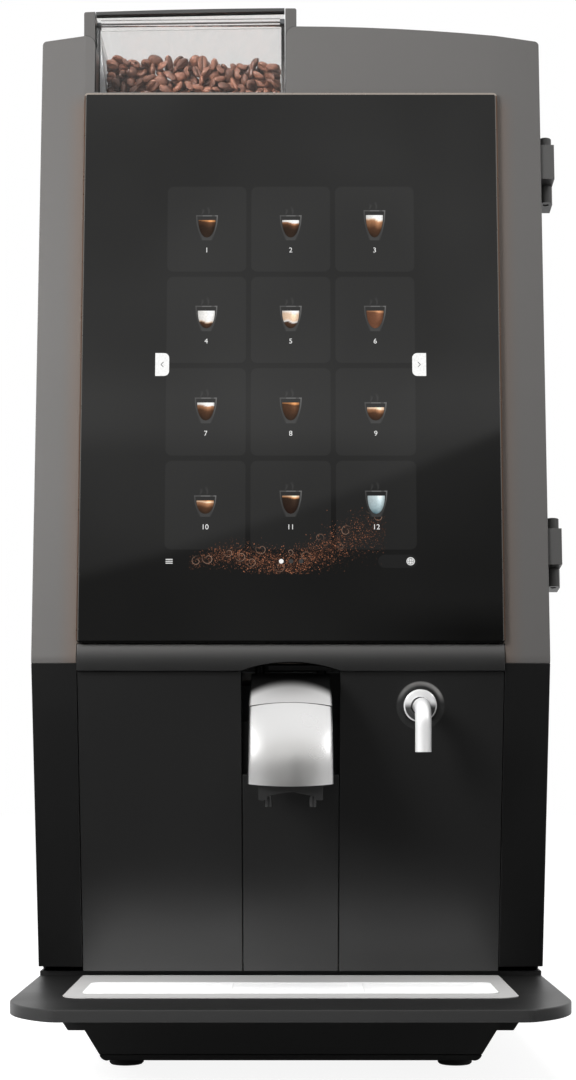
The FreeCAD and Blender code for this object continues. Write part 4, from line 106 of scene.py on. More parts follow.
# %% Camera
camera_data = bpy.data.cameras.new("front_camera")
camera_data.sensor_width = 36
camera_data.lens = 61.67
camera_data.shift_x, camera_data.shift_y = -0.0025, 0.212
camera_data.clip_end = 50
camera = put_in_scene("front_camera", camera_data)
camera.location = (0.0, -1.326, 0.1877)
camera.rotation_euler = (math.radians(90), 0, 0)
bpy.context.scene.camera = camera
bpy.context.scene.view_settings.view_transform = "Standard"
print("camera height:", camera.location.z)


# %% [markdown]
# ## Studio
# The background is white paper. A lit floor is never evenly white, so the floor adds some light of
# its own for the rays that show it directly, in a mirror or through glass. Its diffuse part still
# takes the machine's shadow.

# %% Node helpers
def add_node(tree, kind, **inputs):
    """A node with some of its sockets or properties set."""
    node = tree.nodes.new(kind)
    for key, value in inputs.items():
        if key in node.inputs:
            node.inputs[key].default_value = value
        else:
            setattr(node, key, value)
    return node


def feed(tree, value, socket):
    """Set a socket to a number or a colour, or link it to another socket."""
    if isinstance(value, (int, float, tuple)):
        socket.default_value = value
    else:
        tree.links.new(value, socket)


def combine(tree, operation, first, second):
    """One step of arithmetic; either side may be a number or a socket."""
    node = add_node(tree, "ShaderNodeMath", operation=operation)
    feed(tree, first, node.inputs[0])
    feed(tree, second, node.inputs[1])
    return node.outputs[0]


def ramp(tree, value, low, high, start, end, smooth=False):
    """Carry a value from one range to another, clamped at both ends."""
    node = add_node(tree, "ShaderNodeMapRange")
    node.interpolation_type = "SMOOTHSTEP" if smooth else "LINEAR"
    labels = ("Value", "From Min", "From Max", "To Min", "To Max")
    for label, given in zip(labels, (value, low, high, start, end)):
        feed(tree, given, node.inputs[label])
    return node.outputs["Result"]


def seen_rays(tree):
    """1 for the rays that show a thing to the eye, in a mirror or through glass."""
    path = add_node(tree, "ShaderNodeLightPath").outputs
    either = combine(tree, "MAXIMUM", path["Is Camera Ray"], path["Is Glossy Ray"])
    return combine(tree, "MAXIMUM", either, path["Is Transmission Ray"])


def new_material(name, empty=False):
    """A material and its node tree, with the usual shader or without any node."""
    material = bpy.data.materials.new(name)
    material.use_nodes = True
    if empty:
        material.node_tree.nodes.clear()
    return material, material.node_tree


# %% World
WORLD_LIGHT = 0.33
world = bpy.data.worlds.new("white_studio")
world.use_nodes = True
bpy.context.scene.world = world
tree = world.node_tree
background = tree.nodes["Background"].inputs
background["Color"].default_value = (1, 1, 1, 1)
feed(tree, ramp(tree, seen_rays(tree), 0, 1, WORLD_LIGHT, 1), background["Strength"])
print("world light:", WORLD_LIGHT)

# %% Floor
FLOOR_HALF, PAPER_GREY, PAPER_GLOW = 6.0, 0.36, 0.90
floor_paint, tree = new_material("white_paper", empty=True)
paper = add_node(tree, "ShaderNodeBsdfDiffuse", Color=(PAPER_GREY, PAPER_GREY, PAPER_GREY, 1))
glow = add_node(tree, "ShaderNodeEmission", Color=(1, 1, 1, 1))
feed(tree, combine(tree, "MULTIPLY", seen_rays(tree), PAPER_GLOW), glow.inputs["Strength"])
both = add_node(tree, "ShaderNodeAddShader")
feed(tree, paper.outputs[0], both.inputs[0])
feed(tree, glow.outputs[0], both.inputs[1])
feed(tree, both.outputs[0], add_node(tree, "ShaderNodeOutputMaterial").inputs["Surface"])
floor_corners = [
    (-FLOOR_HALF, -FLOOR_HALF, 0), (FLOOR_HALF, -FLOOR_HALF, 0),
    (FLOOR_HALF, FLOOR_HALF, 0), (-FLOOR_HALF, FLOOR_HALF, 0),
]
floor = new_piece("floor", floor_corners, [(0, 1, 2, 3)], floor_paint)
print("floor:", 2 * FLOOR_HALF, "m wide")


# %% [markdown]
# Three soft boxes light the machine. The key light stands near at the left: the left cheek is the
# brighter one, and the spout's soft shadow falls to the right and down. A weak one fills the right
# side, and one hangs over the tray. Shiny surfaces don't mirror these three. They mirror cards,
# made further down, and two small spots at the sides, which the beans and the spout's edges catch.

# %% Lamps
def soft_box(name, place, aim, wide, tall, power, mirrored=False):
    """A rectangular area lamp that looks at a point."""
    data = bpy.data.lights.new(name, "AREA")
    data.shape = "RECTANGLE"
    data.size, data.size_y = wide, tall
    data.energy = power
    lamp = put_in_scene(name, data)
    lamp.location = place
    lamp.rotation_euler = (Vector(aim) - Vector(place)).to_track_quat("-Z", "Y").to_euler()
    lamp.visible_camera = False
    lamp.visible_glossy = mirrored


soft_box("left_box", (-0.80, -0.95, 0.80), (0, -0.1, 0.40), 0.45, 0.6, 20)
soft_box("right_box", (1.9, -1.3, 0.9), (0, 0, 0.4), 1.0, 1.2, 1.2)
soft_box("top_box", (0.0, -0.35, 2.1), (0, -0.25, 0.1), 1.3, 0.9, 23)
soft_box("left_spot", (-0.95, -0.55, 0.80), (0, -0.1, 0.5), 0.2, 0.2, 0.9, mirrored=True)
soft_box("right_spot", (0.95, -0.55, 0.80), (0, -0.1, 0.5), 0.2, 0.2, 0.45, mirrored=True)
print("lamps:", len(bpy.data.lights))

# %% [markdown]
# Dark glass shows what stands in front of it. In the studio that was a pale wall, below it a dark
# area with a slanted, slightly curved edge, and a bright strip at the height of the camera. A card
# far in front of the machine carries these brightnesses, worked out from the height and the place
# across. Two plain cards at the sides give the metal something pale to mirror. A dark cloth lies
# on the floor before the machine, as photographers lay it to keep black surfaces black. Only
# reflections see the cards and the cloth.

# %% Helpers for the cards
def object_place(tree):
    """The place on the object as one vector."""
    return add_node(tree, "ShaderNodeTexCoord").outputs["Object"]


def object_axes(tree):
    """The place on the object as X, Y and Z."""
    parts = add_node(tree, "ShaderNodeSeparateXYZ")
    feed(tree, object_place(tree), parts.inputs[0])
    return parts.outputs


def noise(tree, scale, **settings):
    """Noise over the object; the scale may be a number or a socket."""
    node = add_node(tree, "ShaderNodeTexNoise", **settings)
    feed(tree, object_place(tree), node.inputs["Vector"])
    feed(tree, scale, node.inputs["Scale"])
    return node.outputs["Fac"]


def steps_up(tree, height, stops):
    """A brightness that changes with the height, through given (height, brightness) pairs."""
    node = add_node(tree, "ShaderNodeValToRGB")
    bar = node.color_ramp
    for level, bright in stops:
        stop = bar.elements[0] if level == 0 else bar.elements.new(level / CARD_TOP)
        stop.color = (bright, bright, bright, 1)
    bar.elements.remove(bar.elements[-1])
    feed(tree, combine(tree, "DIVIDE", height, CARD_TOP), node.inputs["Fac"])
    return node.outputs["Color"]


def glow_paint(name, colour=(1, 1, 1, 1)):
    """A paint that only sends out light, with its node tree and the socket of its strength."""
    paint, tree = new_material(name, empty=True)
    glow = add_node(tree, "ShaderNodeEmission", Color=colour)
    feed(tree, glow.outputs[0], add_node(tree, "ShaderNodeOutputMaterial").inputs["Surface"])
    return paint, tree, glow.inputs["Strength"]


def studio_card(name, corners, paint):
    """A flat card that only reflections see. It is no part of the object."""
    card = new_piece(name, corners, [(0, 1, 2, 3)], paint)
    for ray in ("camera", "diffuse", "transmission", "shadow", "volume_scatter"):
        setattr(card, "visible_" + ray, False)


# %% Card for the reflections
CARD_HALF, CARD_FRONT, CARD_TOP = 4.5, -3.1, 3.4
EDGE_HEIGHT, EDGE_SLOPE, EDGE_CURVE = 1.636, 0.37, 0.1
EDGE_SOFT, EDGE_REACH = 0.022, 0.55
WALL_LIGHT = [
    (0, 0.5), (1.5, 0.49), (1.67, 0.57), (1.79, 0.66), (1.86, 0.88), (1.94, 0.94), (2.08, 0.80),
    (2.3, 0.75), (2.7, 0.71), (CARD_TOP, 0.71),
]
LOW_LIGHT = [(0, 0.29), (1.2, 0.27), (1.5, 0.25), (CARD_TOP, 0.25)]
CORNER_LEFT, CORNER_RIGHT, CORNER_UNDER, CORNER_DARK = (0.1, 0.42), (0.6, 0.8), (1.42, 1.34), 0.17
card_paint, tree, strength = glow_paint("reflected_light", (1.0, 0.995, 0.98, 1))
across, _, height = object_axes(tree)
middle = combine(tree, "MAXIMUM", combine(tree, "MINIMUM", across, EDGE_REACH), -EDGE_REACH)
bend = combine(tree, "MULTIPLY", combine(tree, "MULTIPLY", middle, middle), EDGE_CURVE)
edge = combine(tree, "ADD", combine(tree, "MULTIPLY", middle, EDGE_SLOPE), bend)
over = combine(tree, "SUBTRACT", height, combine(tree, "ADD", edge, EDGE_HEIGHT))
corner = combine(
    tree, "MULTIPLY", ramp(tree, across, *CORNER_LEFT, 0, 1), ramp(tree, height, *CORNER_UNDER, 0, 1)
)
corner = combine(tree, "MULTIPLY", corner, ramp(tree, across, *CORNER_RIGHT, 1, 0))
dark = steps_up(tree, height, LOW_LIGHT)
dark = combine(tree, "SUBTRACT", dark, combine(tree, "MULTIPLY", corner, CORNER_DARK))
share = ramp(tree, over, -EDGE_SOFT, EDGE_SOFT, 0, 1, smooth=True)
more = combine(tree, "SUBTRACT", steps_up(tree, height, WALL_LIGHT), dark)
even_light = combine(tree, "ADD", dark, combine(tree, "MULTIPLY", more, share))
blots = ramp(tree, noise(tree, 2.6, Detail=1.0), 0.35, 0.65, 0.93, 1.12)
feed(tree, combine(tree, "MULTIPLY", even_light, blots), strength)
card_corners = [
    (-CARD_HALF, CARD_FRONT, 0), (CARD_HALF, CARD_FRONT, 0),
    (CARD_HALF, CARD_FRONT, CARD_TOP), (-CARD_HALF, CARD_FRONT, CARD_TOP),
]
studio_card("reflected_card", card_corners, card_paint)
print("card edge at the middle:", EDGE_HEIGHT)

# %% Cards at the sides
SIDE_CARD, SIDE_FRONT, SIDE_BACK, SIDE_TOP, SIDE_LIGHT = 2.6, -3.0, 0.8, 1.5, 0.5
side_paint, tree, strength = glow_paint("side_light")
strength.default_value = SIDE_LIGHT
for name, x in (("left_card", -SIDE_CARD), ("right_card", SIDE_CARD)):
    low = [(x, SIDE_FRONT, 0), (x, SIDE_BACK, 0)]
    studio_card(name, low + [(x, SIDE_BACK, SIDE_TOP), (x, SIDE_FRONT, SIDE_TOP)], side_paint)
print("side cards at:", SIDE_CARD)

# %% Dark cloth on the floor
CLOTH_FAR, CLOTH_SHADOWED, CLOTH_UP = 0.10, 0.03, 0.0006
CLOTH_FRONT, CLOTH_FRONT_HALF, CLOTH_BACK_HALF = -3.0, 1.1, 0.6
CLOTH_DEPTHS, CLOTH_SIDES = (-0.38, -0.55), (0.16, 0.30)
cloth_paint, tree, strength = glow_paint("dark_cloth")
across, depth, _ = object_axes(tree)
# Painted shade and light on the cloth: darker near the machine, standing in for the machine's shadow
# on the floor, and darker to the right, away from the key light.
away = ramp(tree, depth, *CLOTH_DEPTHS, CLOTH_SHADOWED, CLOTH_FAR, smooth=True)
aside = ramp(tree, across, *CLOTH_SIDES, 1.0, 0.3, smooth=True)
feed(tree, combine(tree, "MULTIPLY", away, aside), strength)
cloth_corners = [
    (-CLOTH_FRONT_HALF, CLOTH_FRONT, CLOTH_UP), (CLOTH_FRONT_HALF, CLOTH_FRONT, CLOTH_UP),
    (CLOTH_BACK_HALF, 0, CLOTH_UP), (-CLOTH_BACK_HALF, 0, CLOTH_UP),
]
studio_card("dark_cloth", cloth_corners, cloth_paint)
print("cloth reaches to:", CLOTH_FRONT)


# %% [markdown]
# ## Finishes
# Real surfaces vary a little: paint is a touch uneven, moulded plastic has a fine grain, and
# polish differs from place to place. One node group makes that for all the plain finishes. It puts
# out a colour, a roughness and a height, and each material sets its own values.

# %% Groups for the finishes
COLOUR, NUMBER, VECTOR = "NodeSocketColor", "NodeSocketFloat", "NodeSocketVector"
FINISH_INPUTS = [
    ("Colour", COLOUR, (0.5, 0.5, 0.5, 1)),
    ("Other Colour", COLOUR, (0.4, 0.4, 0.4, 1)),
    ("Roughness Low", NUMBER, 0.3),
    ("Roughness High", NUMBER, 0.4),
]
FINISH_OUTPUTS = [("Colour", COLOUR), ("Roughness", NUMBER), ("Height", NUMBER)]


def new_group(name, inputs, outputs):
    """An empty shader group, what it is given and where its results go."""
    group = bpy.data.node_groups.new(name, "ShaderNodeTree")
    for label, kind, value in inputs:
        socket = group.interface.new_socket(label, in_out="INPUT", socket_type=kind)
        socket.default_value = value
    for label, kind in outputs:
        group.interface.new_socket(label, in_out="OUTPUT", socket_type=kind)
    given, result = group.nodes.new("NodeGroupInput"), group.nodes.new("NodeGroupOutput")
    return group, given.outputs, result.inputs


def mix_colours(tree, share, first, second):
    """A colour between two others, each a colour or a socket."""
    node = add_node(tree, "ShaderNodeMix", data_type="RGBA")
    for value, socket in ((share, "Factor"), (first, 6), (second, 7)):
        feed(tree, value, node.inputs[socket])
    return node.outputs[2]


def varied(group, given, result, chooser, spread, relief):
    """Let a noise choose between both colours and both roughnesses, and hand on the relief."""
    low, high = given["Roughness Low"], given["Roughness High"]
    colour = mix_colours(group, chooser, given["Colour"], given["Other Colour"])
    feed(group, colour, result["Colour"])
    feed(group, ramp(group, chooser, *spread, low, high), result["Roughness"])
    feed(group, relief, result["Height"])
    return group


def surface_group():
    """Slow changes of colour and polish, and a fine grain."""
    scales = [("Patch Scale", NUMBER, 12.0), ("Grain Scale", NUMBER, 900.0)]
    group, given, result = new_group("uneven_surface", FINISH_INPUTS + scales, FINISH_OUTPUTS)
    patches = noise(group, given["Patch Scale"], Detail=3.0, Roughness=0.5)
    grain = noise(group, given["Grain Scale"], Detail=2.0, Roughness=0.6)
    return varied(group, given, result, patches, (0.3, 0.7), grain)


UNEVEN = surface_group()
print("group of the plain finishes:", UNEVEN.name)


# %% [markdown]
# Ground metal has fine lines in one direction. Noise stretched many times along that
# direction gives them, for the roughness and for a very low relief.

# %% Fine lines
def lines_group():
    """Fine lines along one direction."""
    stretch = [("Stretch", VECTOR, (10.0, 900.0, 900.0))]
    group, given, result = new_group("fine_lines", FINISH_INPUTS + stretch, FINISH_OUTPUTS)
    drawn_out = add_node(group, "ShaderNodeVectorMath", operation="MULTIPLY")
    feed(group, object_place(group), drawn_out.inputs[0])
    feed(group, given["Stretch"], drawn_out.inputs[1])
    lines = add_node(group, "ShaderNodeTexNoise", Scale=1.0, Detail=4.0, Roughness=0.65)
    feed(group, drawn_out.outputs[0], lines.inputs["Vector"])
    return varied(group, given, result, lines.outputs["Fac"], (0.0, 1.0), lines.outputs["Fac"])


FINE_LINES = lines_group()
print("group of the ground metal:", FINE_LINES.name)


# %% [markdown]
# A finish is a Principled shader fed by one of the groups. Values that are the same all over the
# surface, such as the metallic level, are set on the shader itself.

# %% Finish builder
def grey(level):
    """A colour with no tint."""
    return (level, level, level)


def finish(name, group, tones, rough, settings, relief, relief_depth, shader_values):
    """A material whose colour, roughness and relief come from a group."""
    material, tree = new_material(name)
    shader = tree.nodes["Principled BSDF"].inputs
    for key, value in shader_values.items():
        shader[key.replace("_", " ")].default_value = value
    effect = add_node(tree, "ShaderNodeGroup", node_tree=group)
    settings["Colour"], settings["Other Colour"] = [(*tone, 1) for tone in tones]
    settings["Roughness Low"], settings["Roughness High"] = rough
    for key, value in settings.items():
        effect.inputs[key].default_value = value
    feed(tree, effect.outputs["Colour"], shader["Base Color"])
    feed(tree, effect.outputs["Roughness"], shader["Roughness"])
    if relief:
        bump = add_node(tree, "ShaderNodeBump", Strength=relief, Distance=relief_depth)
        feed(tree, effect.outputs["Height"], bump.inputs["Height"])
        feed(tree, bump.outputs["Normal"], shader["Normal"])
    return material


def plain(name, colour, other, rough, patch=12.0, grain=900.0, relief=0.0, **shader_values):
    """A moulded or painted finish between two close colours."""
    settings = {"Patch Scale": patch, "Grain Scale": grain}
    return finish(name, UNEVEN, (colour, other), rough, settings, relief, 0.00005, shader_values)


def black_moulding(name, colour, other, rough=(0.30, 0.38)):
    """The black plastic of the door's lower half, in one of its shades."""
    return plain(name, colour, other, rough, patch=10, grain=2200, relief=0.10)


def variant(material, name):
    """A finish again under another name, to be given a second colour."""
    copy = material.copy()
    copy.name = name
    return copy


# %% Finishes of the shell
grey_paint = plain(
    "satin_grey_paint", (0.116, 0.112, 0.109), (0.107, 0.103, 0.100), (0.34, 0.42),
    patch=9, grain=1400, relief=0.12, Metallic=0.25,
)
door_paint = variant(grey_paint, "door_paint")
# the frame's own black plastic; a layer further down adds painted shade inside the spout's channel
frame_black_and_channel_shade = black_moulding("black_frame_plastic", grey(0.0045), grey(0.0060))
panel_black = black_moulding("black_panel_plastic", grey(0.0100), (0.0118, 0.0118, 0.0117))
ledge_satin = black_moulding("ledge_satin", grey(0.0115), (0.0130, 0.0130, 0.0129), (0.34, 0.42))
tray_plastic = plain(
    "dark_tray_plastic", grey(0.009), (0.012, 0.012, 0.0119), (0.34, 0.44),
    patch=14, grain=2600, relief=0.16, Specular_IOR_Level=0.4,
)
gloss_black = plain(
    "smooth_black_plastic", grey(0.008), grey(0.011), (0.14, 0.22),
    patch=14, Specular_IOR_Level=0.4,
)
dark_glass = plain("dark_glass", grey(0.0012), (0.0015, 0.0015, 0.0014), (0.025, 0.04), patch=5)
black_sheet = plain(
    "black_sheet_metal", (0.014, 0.014, 0.0145), grey(0.018), (0.42, 0.5),
    patch=7, grain=1800, relief=0.2,
)
galvanised = plain(
    "dull_grey_sheet", (0.34, 0.345, 0.35), (0.42, 0.425, 0.43), (0.4, 0.55),
    patch=40, grain=600, relief=0.08, Metallic=0.7,
)
strip_grey = plain("grey_seal_strip", grey(0.055), grey(0.048), (0.35, 0.45), patch=20)
clear_plastic = plain(
    "smoked_clear_plastic", (0.93, 0.925, 0.92), (0.90, 0.895, 0.89), (0.03, 0.05),
    patch=10, Transmission_Weight=1.0, IOR=1.35,
)

# %% Finishes of the metal pieces
satin_silver = plain(
    "satin_silver", (0.82, 0.815, 0.81), (0.79, 0.785, 0.78), (0.27, 0.33),
    patch=20, grain=3000, relief=0.05, Metallic=1.0,
)
hood_silver = plain(
    "darker_satin_silver", (0.75, 0.745, 0.74), (0.72, 0.715, 0.71), (0.36, 0.42),
    patch=20, grain=3000, relief=0.05, Metallic=1.0,
)
chrome = plain("satin_chrome", grey(0.95), grey(0.92), (0.20, 0.27), patch=30, Metallic=0.4)
flange_chrome = variant(chrome, "flange_chrome")
blasted_steel = plain(
    "bead_blasted_steel", grey(0.96), grey(0.94), (0.5, 0.6),
    patch=60, grain=2500, relief=0.15, Specular_IOR_Level=0.15,
)
inlay_steel = plain(
    "satin_inlay_steel", (0.50, 0.495, 0.49), (0.46, 0.455, 0.45), (0.4, 0.5),
    patch=40, grain=2500, relief=0.1, Specular_IOR_Level=0.3,
)
hinge_grey = plain(
    "hinge_grey", (0.072, 0.071, 0.070), (0.066, 0.065, 0.064), (0.36, 0.44),
    patch=20, grain=1400, relief=0.12, Metallic=0.2,
)
# Painted shade: the guide rods are made near-black because they sit in the shade under the door's
# arch; the spout's carriage with this finish is black itself.
dark_steel_and_shade = plain(
    "dark_steel_and_painted_shade", grey(0.003), grey(0.002), (0.35, 0.45), patch=30, Specular_IOR_Level=0.1,
)
nozzle_black = plain("nozzle_black", grey(0.018), grey(0.022), (0.16, 0.24), patch=40)
ground_steel = finish(
    "ground_steel", FINE_LINES, (grey(0.6), grey(0.5)), (0.2, 0.32), {"Stretch": (1500, 1500, 20)},
    0.1, 0.00002, {"Metallic": 1.0},
)
brass = plain(
    "machined_brass", (0.62, 0.47, 0.20), (0.56, 0.42, 0.18), (0.25, 0.35), patch=60, Metallic=1.0
)

# %% Finishes of the inner pieces
rubber = plain("black_rubber", grey(0.013), grey(0.017), (0.75, 0.85), patch=60)
dark_plastic = plain(
    "dark_grey_plastic", (0.020, 0.020, 0.021), (0.026, 0.026, 0.027), (0.4, 0.5),
    patch=20, grain=1500, relief=0.2,
)
white_plastic = plain(
    "off_white_plastic", (0.62, 0.61, 0.58), (0.58, 0.57, 0.54), (0.38, 0.48),
    patch=20, grain=1500, relief=0.12,
)
case_grey = plain(
    "grey_case_plastic", (0.11, 0.115, 0.12), (0.13, 0.135, 0.14), (0.4, 0.5),
    patch=20, grain=1500, relief=0.2,
)
foam_jacket = plain(
    "foam_jacket", (0.035, 0.035, 0.036), grey(0.05), (0.8, 0.95), patch=90, grain=700, relief=0.9
)
ceramic = plain("ceramic", (0.68, 0.66, 0.62), (0.64, 0.62, 0.58), (0.2, 0.3), patch=40)
print("materials so far:", len(bpy.data.materials))

# %% [markdown]
# Some pieces carry painted light and shade. The ledge under the glass is painted lighter towards its
# top, a painted highlight where its rounded front faces the light; the spout's hood is painted dark
# where the door's arch shades it, a painted shadow; and the door frame is painted darker inside the
# spout's channel, as painted shade in that deep recess. A second colour is laid over the finish
# where a mask, worked out from the place, says so.

# %% Second colour by place
HOOD_SHADOW_EDGE, ARCH_CURVE = (0.2385, 0.2455), 11.0
CHANNEL_SIDE, CHANNEL_FOOT = (0.0325, 0.0320), (0.176, 0.180)
LEDGE_SPAN, LEDGE_POWER = (0.2515, 0.2678), 3.2
PANEL_SPAN, PANEL_POWER, PANEL_SIDES = (0.130, 0.052), 2.3, (-0.02, 0.06)
TAP_ACROSS, TAP_UP = 0.0839, 0.2287
GLEAM_RISE, GLEAM_FALL, GLEAM_UPPER = (0.0120, 0.0142), (0.0146, 0.0160), (0.001, 0.010)
FLANGE_RIM, FLANGE_DARK = (0.0097, 0.0101), (0.003, -0.002)
GLASS_SIDE, GLASS_HEAD = (0.152, 0.138), (0.642, 0.63)
TRAY_EDGE = (0.0502, 0.0490)


def add_layer(material, mask_maker, colour):
    """Lay another colour over a finish where the mask is 1."""
    tree = material.node_tree
    base = tree.nodes["Principled BSDF"].inputs["Base Color"]
    mask = mask_maker(tree, *object_axes(tree))
    feed(tree, mix_colours(tree, mask, base.links[0].from_socket, (*colour, 1)), base)


def hood_top(tree, across, depth, height):
    """Painted shadow: 1 over a line that follows the door's arch across the hood, where the arch
    shades it.
    """
    sag = combine(tree, "MULTIPLY", combine(tree, "MULTIPLY", across, across), ARCH_CURVE)
    level = combine(tree, "ADD", height, sag)
    return ramp(tree, level, *HOOD_SHADOW_EDGE, 0, 1, smooth=True)


def in_channel(tree, across, depth, height):
    """Painted shade: 1 inside the spout's channel, a deep recess that lies in shade."""
    near = ramp(tree, combine(tree, "ABSOLUTE", across, 0), *CHANNEL_SIDE, 0, 1)
    return combine(tree, "MULTIPLY", near, ramp(tree, height, *CHANNEL_FOOT, 0, 1))


def ledge_light(tree, across, depth, height):
    """Painted light, rising towards the top of the ledge where its round front faces the light."""
    return combine(tree, "POWER", ramp(tree, height, *LEDGE_SPAN, 0, 1), LEDGE_POWER)


def panel_foot(tree, across, depth, height):
    """Rising towards the foot of the panel, where light comes up from the bright tray."""
    rise = combine(tree, "POWER", ramp(tree, height, *PANEL_SPAN, 0, 1), PANEL_POWER)
    return combine(tree, "MULTIPLY", rise, ramp(tree, across, *PANEL_SIDES, 1.0, 0.5))


def from_tap(tree, across, height):
    """Distance from the middle of the tap's flange, and the height over it."""
    aside = combine(tree, "SUBTRACT", across, TAP_ACROSS)
    up = combine(tree, "SUBTRACT", height, TAP_UP)
    both = combine(
        tree, "ADD", combine(tree, "MULTIPLY", aside, aside), combine(tree, "MULTIPLY", up, up)
    )
    return combine(tree, "POWER", both, 0.5), up


def dish_gleam(tree, across, depth, height):
    """An arc of light in the upper half of the dish round the tap."""
    reach, up = from_tap(tree, across, height)
    rise = ramp(tree, reach, *GLEAM_RISE, 0, 1, smooth=True)
    fall = ramp(tree, reach, *GLEAM_FALL, 1, 0, smooth=True)
    upper = ramp(tree, up, *GLEAM_UPPER, 0, 1, smooth=True)
    return combine(tree, "MULTIPLY", combine(tree, "MULTIPLY", rise, fall), upper)


def flange_foot(tree, across, depth, height):
    """The lower part of the flange inside its rim, which mirrors the dark panel."""
    reach, up = from_tap(tree, across, height)
    inside = ramp(tree, reach, *FLANGE_RIM, 1, 0)
    return combine(tree, "MULTIPLY", inside, ramp(tree, up, *FLANGE_DARK, 0, 1, smooth=True))


def near_glass(tree, across, depth, height):
    """A narrow band of the door beside the glass, where the copper-brown frame is mirrored."""
    aside = combine(tree, "ABSOLUTE", across, 0)
    beside = ramp(tree, aside, *GLASS_SIDE, 0, 1, smooth=True)
    return combine(tree, "MULTIPLY", beside, ramp(tree, height, *GLASS_HEAD, 0, 0.8))


def tray_front(tree, across, depth, height):
    """Painted light on the tray's upright front, under its upper edge."""
    return ramp(tree, height, *TRAY_EDGE, 0, 1)


# painted shadow of the door's arch on the top of the hood
add_layer(hood_silver, hood_top, grey(0.006))
# painted shade inside the spout's channel; the frame's plastic is black itself
add_layer(frame_black_and_channel_shade, in_channel, grey(0.0015))
# painted highlight towards the top of the ledge
add_layer(ledge_satin, ledge_light, (0.100, 0.098, 0.096))
add_layer(panel_black, panel_foot, grey(0.055))
add_layer(panel_black, dish_gleam, (0.20, 0.195, 0.19))
add_layer(door_paint, near_glass, (0.128, 0.100, 0.084))
# painted light: the tray's upright front is made lighter than its top
add_layer(tray_plastic, tray_front, grey(0.032))
add_layer(flange_chrome, flange_foot, grey(0.075))
print("middle of the tap:", TAP_ACROSS, TAP_UP)

# %% [markdown]
# The thin frame round the glass is not the same all round: its top edge carries a painted highlight,
# bright where it faces the light from above, its sides show a dark copper-brown outer edge with a
# paler line next to the glass, and at the bottom it is painted dark as the shadow of the gap. Masks
# by place choose between these colours.

# %% Frame round the glass
TRIM_OUTER = (0.135, 0.078, 0.052, 1)
TRIM_INNER = (0.19, 0.18, 0.17, 1)
# painted highlight on the top edge
TRIM_TOP_HIGHLIGHT = (0.42, 0.37, 0.33, 1)
# painted shadow at the bottom edge
TRIM_BOTTOM_SHADOW = (0.004, 0.004, 0.004, 1)
OUTER_FROM, TOP_HIGHLIGHT_FROM, BOTTOM_SHADOW_FROM = (0.13715, 0.13740), (0.6383, 0.6387), (0.2706, 0.2700)
trim_metal, tree = new_material("frame_round_the_glass")
shader = tree.nodes["Principled BSDF"].inputs
shader["Metallic"].default_value = 0.9
across, _, height = object_axes(tree)
colour = TRIM_INNER
for mask, chosen in (
    (ramp(tree, combine(tree, "ABSOLUTE", across, 0), *OUTER_FROM, 0, 1), TRIM_OUTER),
    (ramp(tree, height, *TOP_HIGHLIGHT_FROM, 0, 1), TRIM_TOP_HIGHLIGHT),
    (ramp(tree, height, *BOTTOM_SHADOW_FROM, 0, 1), TRIM_BOTTOM_SHADOW),
):
    colour = mix_colours(tree, mask, colour, chosen)
feed(tree, colour, shader["Base Color"])
scratches = noise(tree, 160.0, Detail=3.0)
feed(tree, ramp(tree, scratches, 0.3, 0.7, 0.24, 0.36), shader["Roughness"])
print("outer edge of the frame:", TRIM_OUTER[:3])

# %% [markdown]
# Each CAD piece names a material slot, and each slot has its finish. A few pieces differ from the
# rest of their slot, so they are named by themselves.

# %% Give every CAD piece its finish
FINISHES = {
    "grey_shell": grey_paint,
    "black_shell": panel_black,
    "tray_plastic": tray_plastic,
    "dark_glass": dark_glass,
    "dark_chrome": trim_metal,
    "satin_silver": satin_silver,
    "chrome": chrome,
    "steel": ground_steel,
    "bright_steel": inlay_steel,
    "dark_steel": black_sheet,
    "galvanised": galvanised,
    "smoke_clear": clear_plastic,
    "black_gloss": gloss_black,
    "rubber": rubber,
    "white_plastic": white_plastic,
    "dark_plastic": dark_plastic,
    "green_board": case_grey,
    "brass": brass,
    "foam": foam_jacket,
    "ceramic": ceramic,
    "red_switch": gloss_black,
}
OWN_FINISH = {
    "drip_grate": blasted_steel,
    "spout_hood": hood_silver,
    "spout_guide_rods": dark_steel_and_shade,
    "spout_carriage": dark_steel_and_shade,
    "lid_front_strip": strip_grey,
    "tap_flange": flange_chrome,
    "door_surround": door_paint,
    "door_lower_frame": frame_black_and_channel_shade,
    "nozzle_block": nozzle_black,
    "hinge_body_leaves": hinge_grey,
    "hinge_door_leaves": hinge_grey,
    "hinge_pins": hinge_grey,
}
slot_of = {entry["node"]: entry["material_slot"] for entry in frame["record"]["subparts"]}
body_of = {
    node: body
    for body, members in frame["record"]["behaviour"]["bodies"].items()
    for node in members
}
for node, piece in nodes.items():
    piece.data.materials.clear()
    piece.data.materials.append(OWN_FINISH.get(node, FINISHES[slot_of[node]]))
print("finishes:", len(set(FINISHES.values())))


# %% [markdown]
# Moulded and painted edges are never knife-sharp: they catch a thin line of light. For pieces
# whose edges show, a copy of the CAD mesh gets its flat faces joined again and a small bevel.

# %% Soft edges
def soft_edges(piece, width, segments=2, angle=32):
    """Round the sharp edges of a piece; the width is in millimetres."""
    bevel = piece.modifiers.new("soft_edges", "BEVEL")
    bevel.width = width * MM
    bevel.segments = segments
    bevel.limit_method = "ANGLE"
    bevel.angle_limit = math.radians(angle)
    bevel.harden_normals = True


